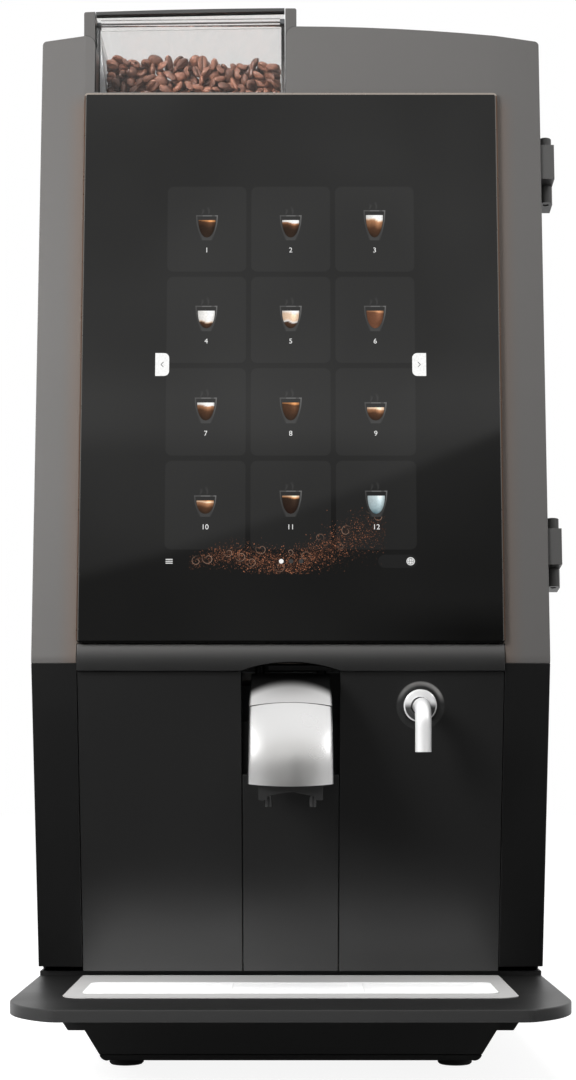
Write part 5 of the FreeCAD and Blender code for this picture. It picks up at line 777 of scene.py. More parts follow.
def softened(node, width, wider=1.0):
    """A copy of a CAD piece with its sharp edges rounded, in place of that piece."""
    mesh = nodes[node].data.copy()
    mesh.name = node + "_soft"
    work = bmesh.new()
    work.from_mesh(mesh)
    bmesh.ops.remove_doubles(work, verts=work.verts, dist=SAME_POINT)
    bmesh.ops.dissolve_limit(work, angle_limit=SAME_FACE, verts=work.verts, edges=work.edges)
    for corner in work.verts:
        corner.co.x *= wider
    work.to_mesh(mesh)
    work.free()
    for stale in ("custom_normal", "sharp_edge", "sharp_face"):
        if stale in mesh.attributes:
            mesh.attributes.remove(mesh.attributes[stale])
    mesh.shade_smooth()
    piece = put_in_scene(node + "_soft", mesh)
    soft_edges(piece, width)
    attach(piece, body_of[node])
    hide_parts(node)


SAME_POINT, SAME_FACE = 2e-6, math.radians(0.6)
HOOD_WIDER = 1.085
SOFT_EDGES = {
    "door_surround": 0.5,
    "door_lower_frame": 0.5,
    "lower_panel": 0.35,
    "apron_strip": 0.35,
    "drip_tray": 0.4,
    "base_pan": 0.8,
    "hopper_frame": 0.4,
    "nozzle_block": 0.4,
    "hinge_body_leaves": 0.5,
    "hinge_door_leaves": 0.5,
    "left_side_panel": 0.4,
    "right_side_panel": 0.4,
    "top_panel": 0.4,
}
for node, width in SOFT_EDGES.items():
    softened(node, width)
softened("spout_hood", 0.5, HOOD_WIDER)
print("softened:", len(SOFT_EDGES) + 1)


# %% [markdown]
# The ledge under the glass is rounded from top to bottom, and it is cut out in a flat arch over the
# spout. Its height is sampled column by column: each column follows the same round profile and
# starts at the arch's edge, so that one sheet of faces makes the round front and the arch.

# %% Faces between rings
def joined_rings(rings, sides, first=0):
    """Faces between rings of corners that follow each other, from a first corner on."""
    faces = []
    for base in range(first, first + (rings - 1) * sides, sides):
        for side in range(sides):
            near, far = base + side, base + (side + 1) % sides
            faces.append((near, far, far + sides, near + sides))
    return faces


# %% Ledge under the glass
(_, _, LEDGE_FOOT), (LEDGE_HALF, LEDGE_BACK, LEDGE_TOP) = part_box("ledge_strip")
LEDGE_ROUND = 26 * MM
FOOT_TILT = math.radians(10.1)
FOOT_FRONT = -137.4 * MM
CHANNEL_HALF = 32 * MM
ARCH_RISE = 5.6 * MM
ARCH_ROUND = (CHANNEL_HALF**2 + ARCH_RISE**2) / (2 * ARCH_RISE)
ROUND_Y = FOOT_FRONT + LEDGE_ROUND * math.cos(FOOT_TILT)
ROUND_Z = LEDGE_FOOT + LEDGE_ROUND * math.sin(FOOT_TILT)


def ledge_foot(across):
    """The lower edge of the ledge: straight, with the arch over the spout."""
    if abs(across) >= CHANNEL_HALF:
        return LEDGE_FOOT
    return LEDGE_FOOT + math.sqrt(ARCH_ROUND**2 - across**2) - (ARCH_ROUND - ARCH_RISE)


def ledge_column(across, steps=14):
    """One column of points: up the round front, back, and down behind."""
    foot = ledge_foot(across)
    low, high = [math.asin((height - ROUND_Z) / LEDGE_ROUND) for height in (foot, LEDGE_TOP)]
    column = []
    for step in range(steps + 1):
        turn = low + (high - low) * step / steps
        y, z = ROUND_Y - LEDGE_ROUND * math.cos(turn), ROUND_Z + LEDGE_ROUND * math.sin(turn)
        column.append((across, y, z))
    return column + [(across, LEDGE_BACK, LEDGE_TOP), (across, LEDGE_BACK, foot)]


half_columns = [CHANNEL_HALF * step / 12 for step in range(13)] + [0.06, 0.1, LEDGE_HALF]
columns = sorted({-place for place in half_columns} | set(half_columns))
ledge_points = [point for across in columns for point in ledge_column(across)]
ring = len(ledge_points) // len(columns)
ledge_faces = joined_rings(len(columns), ring) + [tuple(range(ring))[::-1]]
ledge_faces.append(tuple(range(len(ledge_points) - ring, len(ledge_points))))
ledge = new_piece("rounded_ledge", ledge_points, ledge_faces, ledge_satin)
work = bmesh.new()
work.from_mesh(ledge.data)
bmesh.ops.recalc_face_normals(work, faces=work.faces)
work.to_mesh(ledge.data)
work.free()
ledge.data.shade_smooth()
soft_edges(ledge, 0.45, angle=35)
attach(ledge, "door")
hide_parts("ledge_strip")
print("ledge columns:", len(columns))


# %% [markdown]
# ## The screen's picture
# Behind the glass a display shows twelve tiles with glass cups of coffee. The picture is one thin
# mesh just in front of the glass: every shape is a small face whose corners carry the colour of
# the light that the display sends out there, so gradients are blended between the corners.

# %% Ink for the picture
ink_points, ink_faces, ink_colours, ink_kinds = [], [], [], []
LIT_GLASS, LIT_PRINT = 0, 1
OVER_GLASS = {
    "pill": 0.05, "tile": 0.06, "grain": 0.065, "curl": 0.09, "cup": 0.10, "wall": 0.12,
    "rim": 0.14, "drink": 0.16, "tab": 0.16, "tab_end": 0.17, "sign": 0.18, "line": 0.20,
}


def ink(outline, colours, layer, kind=LIT_GLASS, lift=0.0):
    """Add one face: points in millimetres on the glass, with a colour for each or one for all."""
    first = len(ink_points)
    ink_kinds.append(kind)
    if isinstance(colours, tuple):
        colours = [colours] * len(outline)
    for (across, up), colour in zip(outline, colours):
        ink_points.append(on_glass(across, up, OVER_GLASS[layer] + lift))
        ink_colours.append((*colour, 1.0))
    ink_faces.append(tuple(range(first, first + len(outline))))


def mixed(first, second, share):
    """A colour between two others."""
    return tuple(a + (b - a) * share for a, b in zip(first, second))


def scaled(colour, amount):
    """A colour made brighter or darker."""
    return tuple(value * amount for value in colour)


def round_tile(left, low, right, high, radius, steps=5):
    """The outline of a rectangle with round corners."""
    outline = []
    for x, y, start in ((right, low, -90), (right, high, 0), (left, high, 90), (left, low, 180)):
        middle_x = x - radius if x == right else x + radius
        middle_y = y - radius if y == high else y + radius
        for step in range(steps + 1):
            turn = math.radians(start + 90 * step / steps)
            outline.append((middle_x + radius * math.cos(turn), middle_y + radius * math.sin(turn)))
    return outline


# %% Tiles
TILE_WIDE, TILE_TALL, TILE_CORNER = 52.2, 59.2, 4.0
TILE_COLUMNS = (-55.5, 0.0, 55.5)
TILE_TOPS = (318.6, 255.9, 193.2, 130.5)
TILES = [(middle, top) for top in TILE_TOPS for middle in TILE_COLUMNS]
TILE_LIGHT = (0.0078, 0.0078, 0.0076)
for middle, top in TILES:
    left, right = middle - TILE_WIDE / 2, middle + TILE_WIDE / 2
    ink(round_tile(left, top - TILE_TALL, right, top, TILE_CORNER), TILE_LIGHT, "tile")
print("tiles:", len(TILES))

# %% [markdown]
# Each cup is a double-walled glass: its pale outline narrows to the base, and the drink inside ends
# in a bowl shape. The drinks differ only in how full the cup is and in the colours from the bottom
# up: dark coffee, caramel, cream, foam.

# %% Drinks
BLACK, DARK, BROWN = (0.020, 0.009, 0.006), (0.034, 0.020, 0.013), (0.090, 0.042, 0.022)
CHOCOLATE, CARAMEL, CREMA = (0.165, 0.070, 0.038), (0.42, 0.20, 0.10), (0.50, 0.22, 0.085)
CREAM, FOAM = (0.86, 0.62, 0.44), (0.95, 0.93, 0.90)
DEEP_BLUE, PALE_BLUE, WHITE_BLUE = (0.085, 0.16, 0.19), (0.36, 0.47, 0.50), (0.55, 0.64, 0.66)
FULL, TALLER, SHORT = 17.4, 20.9, 14.2
DRINKS = [
    (FULL, [(0, DARK), (0.6, DARK), (0.92, BROWN), (0.94, CREMA), (1, CREMA)]),
    (FULL, [(0, DARK), (0.5, DARK), (0.72, BROWN), (0.84, CARAMEL), (0.87, FOAM)]),
    (TALLER, [(0, DARK), (0.4, BROWN), (0.74, CARAMEL), (0.80, CREAM), (0.84, FOAM)]),
    (FULL, [(0, DARK), (0.30, BROWN), (0.36, CREAM), (0.42, FOAM), (1, FOAM)]),
    (FULL, [(0, DARK), (0.32, BROWN), (0.37, FOAM), (0.48, CREAM), (0.8, CREAM), (1, FOAM)]),
    (FULL, [(0, CHOCOLATE), (0.9, CHOCOLATE), (0.95, CARAMEL), (1, CARAMEL)]),
    (FULL, [(0, DARK), (0.55, BROWN), (0.80, CARAMEL), (0.86, FOAM), (1, FOAM)]),
    (FULL, [(0, DARK), (0.7, BROWN), (0.90, BROWN), (0.93, CREMA), (1, CREMA)]),
    (SHORT, [(0, DARK), (0.55, BROWN), (0.82, CARAMEL), (0.88, CREAM), (1, CREAM)]),
    (SHORT, [(0, DARK), (0.5, BROWN), (0.82, CARAMEL), (0.88, CREAM), (1, CREMA)]),
    (FULL, [(0, BLACK), (0.86, DARK), (0.91, CREMA), (1, CREAM)]),
    (FULL, [(0, DEEP_BLUE), (0.3, PALE_BLUE), (1, WHITE_BLUE)]),
]


def colour_at(stops, share):
    """The colour of a drink at a share of its height."""
    for (low, first), (high, second) in zip(stops, stops[1:]):
        if share <= high:
            return mixed(first, second, (share - low) / (high - low))
    return stops[-1][1]


print("drinks:", len(DRINKS))


# %% Glass of the cups
CUP_SHAPE = [(0, 7.25), (0.11, 7.2), (0.34, 6.9), (0.57, 6.0), (0.75, 5.1), (0.92, 4.1), (1, 3.7)]
CUP_ROWS, WALL, RIM_TALL = 14, 0.8, 0.75
RIM_LIGHT, WALL_GLOW, BODY_LIGHT = 0.12, 0.12, 0.030
RIM_PARTS = ((-1, -0.4, 0.55), (-0.4, 0.45, 1.0), (0.45, 0.75, 0.5), (0.75, 1, 1.1))


def even(light):
    """A neutral grey light."""
    return (light, light * 0.99, light * 0.975)


def cup_half(down):
    """Half the width of the cup at a share of the way from its rim to its base."""
    return float(np.interp(down, *zip(*CUP_SHAPE)))


def band(middle, heights, first_ends, second_ends, lights, layer):
    """A face between two heights, each with its left and right end."""
    (left, right), (second_left, second_right) = first_ends, second_ends
    ink(
        [
            (middle + left, heights[0]), (middle + right, heights[0]),
            (middle + second_right, heights[1]), (middle + second_left, heights[1]),
        ],
        lights, layer,
    )


def cup_glass(middle, rim, tall):
    """The glass: a faint body, a bright right wall, a dimmer left wall and a thin rim."""
    for row in range(CUP_ROWS):
        shares = (row / CUP_ROWS, (row + 1) / CUP_ROWS)
        heights = [rim - tall * share for share in shares]
        high, low = [cup_half(share) for share in shares]
        body = [even(BODY_LIGHT * (0.25 + share**1.5)) for share in shares]
        lights = [body[0], body[0], body[1], body[1]]
        band(middle, heights, (-high, high), (-low, low), lights, "cup")
        for side, strong in ((-1, 0.35), (1, 1.0)):
            first, second = [WALL_GLOW * strong * (1 - share) ** 1.3 + 0.018 for share in shares]
            lights = [even(first), even(first * 0.7), even(second * 0.7), even(second)]
            ends = [(side * (half - WALL), side * half) for half in (high, low)]
            band(middle, heights, *ends, lights, "wall")
    for left, right, light in RIM_PARTS:
        ends = (left * cup_half(0), right * cup_half(0))
        band(middle, (rim - RIM_TALL, rim), ends, ends, even(RIM_LIGHT * light), "rim")


print("width of a cup at its rim:", 2 * cup_half(0))

# %% Drink and steam
RIM_GAP, BASE_GAP, BOWL_HALF, DRINK_ROWS = 3.4, 1.9, 5.6, 24
DRINK_COLUMNS = (-1.0, -0.7, -0.35, 0.0, 0.25, 0.5, 0.75, 1.0)
GLEAM_AT, GLEAM_WIDE = 0.45, 0.3


def bowl_half(share):
    """Half the width of the drink at a share of its own height."""
    return BOWL_HALF * math.sqrt(1 - (1 - share) ** 2.2)


def drink_light(stops, share, side, middle):
    """Colour of a drink at a height and a side, with a lighter place at the upper right."""
    gleam = math.exp(-(((side - GLEAM_AT) / GLEAM_WIDE) ** 2)) * max(share - 0.3, 0) * 1.7
    shade = 0.62 + 0.34 * (1 - side**2) + gleam
    wave = 0.05 * math.sin(side * 4.2 + middle) * (1 - share) * share * 4
    base = colour_at(stops, min(max(share + 0.05 * side + wave, 0), 1))
    return tuple(min(value * shade, 1.0) for value in base)


def cup_drink(middle, rim, tall, stops):
    """The drink, in rows and columns."""
    top, deep = rim - RIM_GAP, tall - RIM_GAP - BASE_GAP
    for row in range(DRINK_ROWS):
        low, high = row / DRINK_ROWS, (row + 1) / DRINK_ROWS
        for left, right in zip(DRINK_COLUMNS, DRINK_COLUMNS[1:]):
            places = ((low, left), (low, right), (high, right), (high, left))
            quad = [
                (middle + side * bowl_half(share), top - deep * (1 - share))
                for share, side in places
            ]
            lights = [drink_light(stops, share, side, middle) for share, side in places]
            ink(quad, lights, "drink", LIT_PRINT)


def steam(middle, rim, lean, tall=6.0, steps=10):
    """A faint curl of steam over the cup, brightest in its middle."""
    for step in range(steps):
        for left, right in ((-1.0, 0.0), (0.0, 1.0)):
            low, high = step / steps, (step + 1) / steps
            points, lights = [], []
            for share, side in ((low, left), (low, right), (high, right), (high, left)):
                sway = math.sin(share * 3.6 + lean) * 0.7 + lean * 0.5 * share
                wide = 0.6 + 0.9 * share
                points.append((middle + sway + side * wide, rim + 0.3 + share * tall))
                fade = math.sin(math.pi * min(share * 0.85 + 0.15, 1.0)) * (1 - abs(side))
                lights.append(even(TILE_LIGHT[0] + 0.020 * fade))
            ink(points, lights, "cup")


CUP_BASE = 37.4
for (middle, top), (tall, stops) in zip(TILES, DRINKS):
    rim = top - CUP_BASE + tall
    cup_glass(middle, rim, tall)
    cup_drink(middle, rim, tall, stops)
    steam(middle - 3.0, rim, -0.7, 4.6)
    steam(middle + 0.6, rim, 0.5)
print("faces with the cups:", len(ink_faces))

# %% [markdown]
# The tiles are numbered. Blender's own font gives the outlines of the numbers: each text object is
# turned into a mesh, its corners go into the picture, and the text object is removed again.

# %% Numbers
LABEL_LIGHT = (0.86, 0.86, 0.85)
NUMBER_TALL, NUMBER_DOWN, FONT_PER_TALL = 3.4, 45.8, 1.42


def write(words, middle, base):
    """Write plain numbers on the glass, centred on a place."""
    data = bpy.data.curves.new("number", "FONT")
    data.body = words
    data.size = NUMBER_TALL * FONT_PER_TALL
    data.align_x = "CENTER"
    writing = put_in_scene("number", data)
    seen = writing.evaluated_get(bpy.context.evaluated_depsgraph_get())
    shape = bpy.data.meshes.new_from_object(seen)
    for face in shape.polygons:
        corners = [shape.vertices[index].co for index in face.vertices]
        outline = [(middle + corner.x, base + corner.y) for corner in corners]
        ink(outline, LABEL_LIGHT, "sign", LIT_PRINT)
    bpy.data.objects.remove(writing)
    bpy.data.meshes.remove(shape)
    bpy.data.curves.remove(data)


for number, (middle, top) in enumerate(TILES, 1):
    write(str(number), middle, top - NUMBER_DOWN)
print("numbers:", number)

# %% [markdown]
# A white tab with an arrow stands at each side of the tiles, for the next and the last page. Below
# the tiles are a menu sign, three dots for the pages, and a plain globe on a dark pill.

# %% Strokes and dots
def circle_points(middle, base, wide, tall, steps=24):
    """Points round an ellipse, closed."""
    turns = [2 * math.pi * step / steps for step in range(steps + 1)]
    return [(middle + wide * math.cos(turn), base + tall * math.sin(turn)) for turn in turns]


def disc(middle, base, radius, light):
    """A round dot."""
    ink(circle_points(middle, base, radius, radius, 20)[:-1], light, "sign", LIT_PRINT)


def stroke(points, wide, light, layer="line", kind=LIT_PRINT):
    """A line of one width through points, of one colour or with a colour at each point."""
    lights = light if isinstance(light, list) else [light] * len(points)
    for (x1, y1), (x2, y2), first, second in zip(points, points[1:], lights, lights[1:]):
        long = math.hypot(x2 - x1, y2 - y1)
        side_x, side_y = -(y2 - y1) / long * wide / 2, (x2 - x1) / long * wide / 2
        quad = [
            (x1 + side_x, y1 + side_y), (x1 - side_x, y1 - side_y),
            (x2 - side_x, y2 - side_y), (x2 + side_x, y2 + side_y),
        ]
        ink(quad, [first, first, second, second], layer, kind)


# %% Tabs and signs
TAB_LIGHT = (0.97, 0.97, 0.96)
TAB_MIDDLE, TAB_TALL, TAB_CORNER = 195.7, 15.6, 3.3
TAB_INNER, TAB_OUTER, TAB_SQUARE = 79.7, 88.8, 4.6
ARROW_HALF, ARROW_TALL, ARROW_WIDE, ARROW_GREY = 0.8, 1.7, 0.5, 0.16
low, high = TAB_MIDDLE - TAB_TALL / 2, TAB_MIDDLE + TAB_TALL / 2
for side in (-1, 1):
    inner, outer = TAB_INNER * side, TAB_OUTER * side
    plate = round_tile(min(inner, outer), low, max(inner, outer), high, TAB_CORNER)
    ink(plate, TAB_LIGHT, "tab", LIT_PRINT)
    straight = outer - side * TAB_SQUARE
    square = [(outer, low), (straight, low), (straight, high), (outer, high)]
    ink(square[::side], TAB_LIGHT, "tab_end", LIT_PRINT)
    tip = (inner + outer) / 2
    arrow = [
        (tip + side * ARROW_HALF * (-1 if up else 1), TAB_MIDDLE + up)
        for up in (ARROW_TALL, 0, -ARROW_TALL)
    ]
    stroke(arrow, ARROW_WIDE, grey(ARROW_GREY))

SIGNS_UP = 63.5
MENU_LEFT, MENU_RIGHT, MENU_GAP, MENU_WIDE = -80.8, -76.3, 1.25, 0.55
DOT_ROUND, DOTS = 1.5, ((-6.1, 0.95), (0.2, 0.050), (6.7, 0.050))
PILL_LEFT, PILL_RIGHT, PILL_HALF, PILL_CORNER, PILL_GREY = 56.6, 81.6, 4.4, 4.2, 0.006
GLOBE, GLOBE_OUT, GLOBE_ROUND, GLOBE_NARROW = 77.5, 2.7, 2.0, 0.8
GLOBE_WIDE, GLOBE_GREY = 0.28, 0.10
for row in (-MENU_GAP, 0, MENU_GAP):
    stroke([(MENU_LEFT, SIGNS_UP + row), (MENU_RIGHT, SIGNS_UP + row)], MENU_WIDE, LABEL_LIGHT)
for middle, light in DOTS:
    disc(middle, SIGNS_UP, DOT_ROUND, even(light))
pill = round_tile(PILL_LEFT, SIGNS_UP - PILL_HALF, PILL_RIGHT, SIGNS_UP + PILL_HALF, PILL_CORNER)
ink(pill, grey(PILL_GREY), "pill")
disc(GLOBE, SIGNS_UP, GLOBE_OUT, (0.80, 0.80, 0.79))
for wide in (GLOBE_ROUND, GLOBE_NARROW):
    stroke(circle_points(GLOBE, SIGNS_UP, wide, GLOBE_ROUND), GLOBE_WIDE, grey(GLOBE_GREY))
equator = [(GLOBE - GLOBE_ROUND, SIGNS_UP), (GLOBE + GLOBE_ROUND, SIGNS_UP)]
stroke(equator, GLOBE_WIDE, grey(GLOBE_GREY))
print("faces with the signs:", len(ink_faces))

# %% [markdown]
# Along the foot of the display runs a plain decoration in warm browns: a low wave of grains with a
# few thin curls in it. Seeded random grains gather round a wavy line, and a curl is a short open
# spiral, drawn with the same stroke as the other lines.

# %% Wave of grains
dice = np.random.default_rng(41)
WAVE_LEFT, WAVE_RIGHT, WAVE_LOW, WAVE_RISE, WAVE_FLOOR = -66.0, 62.0, 62.0, 19.0, 55.0
GRAINS, GRAIN_LIFT, CURLS, CURL_STEPS, CURL_WIDE = 8600, 0.02, 14, 20, 0.40
GRAIN_BROWN, CURL_LIGHT = (0.250, 0.095, 0.048), (0.200, 0.120, 0.085)


def wave_height(share):
    """Middle of the wave of grains at a share of its way to the right."""
    return WAVE_LOW + WAVE_RISE * share**2 + 5 * math.sin(share * 9.0)


for _ in range(GRAINS):
    share = dice.beta(1.5, 1.4)
    across = WAVE_LEFT + (WAVE_RIGHT - WAVE_LEFT) * share
    up = wave_height(share) + (2.8 + 5.2 * share) * dice.normal(0, 1)
    size = 0.13 + 0.40 * dice.random() ** 3
    turn = dice.random() * 3.1
    warm = (0.06 + 2.1 * dice.random() ** 3.2) * (0.35 + 0.65 * math.sin(math.pi * share))
    corners = []
    for step in range(4):
        reach = size * (0.55 + 0.6 * dice.random())
        angle = turn + step * math.pi / 2
        corners.append((across + reach * math.cos(angle), up + reach * math.sin(angle)))
    lift = GRAIN_LIFT * dice.random()
    if up > WAVE_FLOOR:
        ink(corners, scaled(GRAIN_BROWN, warm), "grain", lift=lift)


def curl(middle, base, size, turn, bright):
    """A thin curl in the wave: a turn and a quarter of an open spiral that fades at its ends."""
    line, lights = [], []
    for step in range(CURL_STEPS + 1):
        along = step / CURL_STEPS
        reach, angle = size * (1 - 0.75 * along), turn + 2.5 * math.pi * along
        line.append((middle + reach * math.cos(angle), base + reach * math.sin(angle)))
        lights.append(scaled(CURL_LIGHT, bright * math.sin(math.pi * along)))
    stroke(line, CURL_WIDE, lights, "curl", LIT_GLASS)


for number in range(CURLS):
    share = (number + dice.uniform(0.1, 0.9)) / CURLS
    middle = WAVE_LEFT + (WAVE_RIGHT - WAVE_LEFT) * share
    base = wave_height(share) + dice.uniform(-4, 12) * (0.4 + share)
    curl(middle, base, dice.uniform(2.4, 4.4), dice.uniform(0, 6.3), dice.uniform(0.7, 1.5))
print("faces with the wave of grains:", len(ink_faces))


# %% [markdown]
# The display's light is an emission. A shader group reads the corner colours and breaks them up
# with the display's fine grain. Two materials use it: the tiles and the wave of grains keep the
# gloss of the glass in front of them, and the bright pictures have almost none, as they outshine
# it.

# %% Lit picture
def lit_group():
    """The colour stored at the corners, with a fine grain."""
    group, given, result = new_group(
        "lit_grain",
        [("Grain Scale", NUMBER, 2500.0), ("Grain Depth", NUMBER, 0.2)],
        [("Colour", COLOUR)],
    )
    stored = add_node(group, "ShaderNodeAttribute", attribute_name="light")
    grain = noise(group, given["Grain Scale"], Detail=1.0)
    centred = combine(group, "SUBTRACT", grain, 0.5)
    spread = combine(group, "MULTIPLY", centred, given["Grain Depth"])
    product = add_node(group, "ShaderNodeVectorMath", operation="SCALE")
    feed(group, stored.outputs["Color"], product.inputs[0])
    feed(group, combine(group, "ADD", spread, 1), product.inputs["Scale"])
    feed(group, product.outputs[0], result["Colour"])
    return group


LIT = lit_group()


def lit_material(name, gloss, grain_scale, grain_depth):
    """A dark glossy surface that glows with the picture's colours."""
    material, tree = new_material(name)
    shader = tree.nodes["Principled BSDF"].inputs
    shader["Base Color"].default_value = (*grey(0.0012), 1)
    shader["Roughness"].default_value = 0.03
    shader["Specular IOR Level"].default_value = gloss
    shader["Emission Strength"].default_value = 1.0
    effect = add_node(tree, "ShaderNodeGroup", node_tree=LIT)
    effect.inputs["Grain Scale"].default_value = grain_scale
    effect.inputs["Grain Depth"].default_value = grain_depth
    feed(tree, effect.outputs["Colour"], shader["Emission Color"])
    return material


lit_glass = lit_material("lit_behind_glass", 0.5, 2500.0, 0.3)
lit_print = lit_material("lit_picture", 0.06, 900.0, 0.4)
picture = new_piece("screen_picture", ink_points, ink_faces, lit_glass, lit_print)
light = picture.data.attributes.new("light", "FLOAT_COLOR", "POINT")
light.data.foreach_set("color", np.array(ink_colours, dtype=np.float32).ravel())
picture.data.polygons.foreach_set("material_index", ink_kinds)
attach(picture, "door")
print("picture faces:", len(picture.data.polygons))


# %% [markdown]
# ## Coffee beans
# A roasted bean is half an egg with a crease along its flat side. One bean is shaped from a ball:
# its lower half is flattened and the crease pressed in. Some hundreds of copies lie against the
# hopper's front and over its top; the middle of the heap is never seen, so it stays empty.

# %% One bean
BEAN_LONG, BEAN_WIDE, BEAN_TALL = 5.4, 3.9, 3.1
FLAT_SIDE, CREASE_DEEP, CREASE_WIDE = 0.45, 1.4, 0.6
BEAN_TURNS = (0, 38, 90, 142, 180, 218, 245, 261, 270, 279, 295, 322)


def bean_shape(rings=7):
    """Corners and faces of one bean, in millimetres, lying on its flat side."""
    sides = len(BEAN_TURNS)
    corners = [(-BEAN_LONG, 0.0, 0.0)]
    for ring in range(1, rings):
        turn = math.pi * ring / rings
        along, reach = -BEAN_LONG * math.cos(turn), math.sin(turn) ** 0.8
        for angle in map(math.radians, BEAN_TURNS):
            y, z = BEAN_WIDE * reach * math.cos(angle), BEAN_TALL * reach * math.sin(angle)
            if z < 0:
                z *= FLAT_SIDE
                z += CREASE_DEEP * math.exp(-((y / CREASE_WIDE) ** 2)) * reach
            corners.append((along, y, z))
    corners.append((BEAN_LONG, 0.0, 0.0))
    faces = [(0, 1 + (side + 1) % sides, 1 + side) for side in range(sides)]
    faces += joined_rings(rings - 1, sides, 1)
    last = len(corners) - 1
    base = last - sides
    faces += [(last, base + side, base + (side + 1) % sides) for side in range(sides)]
    return np.array(corners), faces


BEAN_CORNERS, BEAN_FACES = bean_shape()
print("faces of one bean:", len(BEAN_FACES))


# %% Where the beans lie
(bin_left, bin_front, _), (bin_right, bin_back, _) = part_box("hopper_bin")
BIN_WALL, SLOPE_WIDE = 2.5, 4.0
HEAP_LEFT, HEAP_RIGHT = bin_left / MM + BIN_WALL + SLOPE_WIDE, bin_right / MM - BIN_WALL
HEAP_FRONT, HEAP_BACK = bin_front / MM + BIN_WALL, bin_back / MM - BIN_WALL
HEAP_FLOOR, HEAP_TOP = 643.5, 680.0
BEAN_REACH = 3.3
FRONT_BEANS, TOP_BEANS = 300, 560
FRONT_DEEP, TOP_DEEP, FROM_WALL = 15, 8, 3


def heap_height(across, back):
    """The uneven top of the heap over a place."""
    waves = np.sin(across * 0.083 + 1.1) * 2.2 + np.sin(across * 0.21 - back * 0.05) * 1.6
    return HEAP_TOP + waves + np.sin(back * 0.06 + across * 0.03) * 1.8


def scatter(dice):
    """Random places in the front layers and in the top layers."""
    front = np.empty((FRONT_BEANS, 3))
    left, right = HEAP_LEFT + FROM_WALL, HEAP_RIGHT - FROM_WALL
    front[:, 0] = dice.uniform(left, right, FRONT_BEANS)
    front[:, 1] = HEAP_FRONT + FROM_WALL + dice.random(FRONT_BEANS) ** 1.4 * FRONT_DEEP
    top_here = heap_height(front[:, 0], front[:, 1])
    front[:, 2] = HEAP_FLOOR + dice.random(FRONT_BEANS) * (top_here - HEAP_FLOOR)
    over = np.empty((TOP_BEANS, 3))
    over[:, 0] = dice.uniform(left, right, TOP_BEANS)
    over[:, 1] = dice.uniform(HEAP_FRONT + FROM_WALL, HEAP_BACK - FROM_WALL, TOP_BEANS)
    over[:, 2] = heap_height(over[:, 0], over[:, 1]) - dice.random(TOP_BEANS) * TOP_DEEP
    return np.vstack([front, over])


def spread_out(places, rounds=45, apart=6.6):
    """Push beans that lie too close away from each other and keep them inside the bin."""
    for _ in range(rounds):
        gap = places[:, None, :] - places[None, :, :]
        far = np.sqrt((gap**2).sum(axis=2)) + 1e-6
        near = np.where(far < apart, (apart - far) / far * 0.32, 0.0)
        np.fill_diagonal(near, 0.0)
        places = places + (gap * near[:, :, None]).sum(axis=1)
        places[:, 0] = np.clip(places[:, 0], HEAP_LEFT + BEAN_REACH, HEAP_RIGHT - BEAN_REACH)
        places[:, 1] = np.clip(places[:, 1], HEAP_FRONT + BEAN_REACH, HEAP_BACK - BEAN_REACH)
        ceiling = heap_height(places[:, 0], places[:, 1]) + 2.5
        places[:, 2] = np.clip(places[:, 2], HEAP_FLOOR, ceiling)
    return places


dice = np.random.default_rng(12)
bean_places = spread_out(scatter(dice))
print("beans:", len(bean_places))


# %% The heap
def turned(dice):
    """A random turn of a bean, mostly lying with a slant."""
    turn = Matrix.Rotation(dice.uniform(0, 2 * math.pi), 3, "Z")
    turn = turn @ Matrix.Rotation(dice.normal(0, 0.55), 3, "Y")
    return np.array(turn @ Matrix.Rotation(dice.uniform(0, 2 * math.pi), 3, "X"))


heap_corners, heap_faces, heap_roast = [], [], []
for index, place_here in enumerate(bean_places):
    size = dice.uniform(0.86, 1.08)
    solid = (BEAN_CORNERS * size) @ turned(dice).T + place_here
    solid[:, 0] = np.clip(solid[:, 0], HEAP_LEFT + 0.2, HEAP_RIGHT - 0.2)
    solid[:, 1] = np.clip(solid[:, 1], HEAP_FRONT + 0.2, HEAP_BACK - 0.2)
    first = index * len(BEAN_CORNERS)
    heap_corners.append(solid * MM)
    heap_faces += [tuple(first + corner for corner in face) for face in BEAN_FACES]
    heap_roast += [dice.random()] * len(BEAN_CORNERS)
heap = new_piece("coffee_beans", np.vstack(heap_corners).tolist(), heap_faces)
heap.data.shade_smooth()
roast = heap.data.attributes.new("roast", "FLOAT", "POINT")
roast.data.foreach_set("value", np.array(heap_roast, dtype=np.float32))
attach(heap, "cabinet")
print("heap faces:", len(heap.data.polygons))

# %% [markdown]
# Roast differs from bean to bean, so each bean carries its own number and the shader turns it into
# a lighter or darker brown. Noise adds the mottled skin, and a low bump its wrinkles.

# %% Bean finish
DARK_ROAST, PALE_ROAST = (0.040, 0.016, 0.010, 1), (0.205, 0.085, 0.052, 1)
bean_skin, tree = new_material("roasted_bean")
shader = tree.nodes["Principled BSDF"].inputs
stored = add_node(tree, "ShaderNodeAttribute", attribute_name="roast")
mottle = noise(tree, 420.0, Detail=4.0, Roughness=0.6)
roasted = combine(tree, "MULTIPLY", stored.outputs["Fac"], 0.6)
shade = combine(tree, "ADD", roasted, ramp(tree, mottle, 0.35, 0.7, 0.0, 0.45))
feed(tree, mix_colours(tree, shade, DARK_ROAST, PALE_ROAST), shader["Base Color"])
feed(tree, ramp(tree, mottle, 0.3, 0.7, 0.26, 0.42), shader["Roughness"])
bump = add_node(tree, "ShaderNodeBump", Strength=0.25, Distance=0.0002)
feed(tree, noise(tree, 1300.0, Detail=3.0), bump.inputs["Height"])
feed(tree, bump.outputs["Normal"], shader["Normal"])
heap.data.materials.append(bean_skin)
print("roast from", DARK_ROAST[:3], "to", PALE_ROAST[:3])

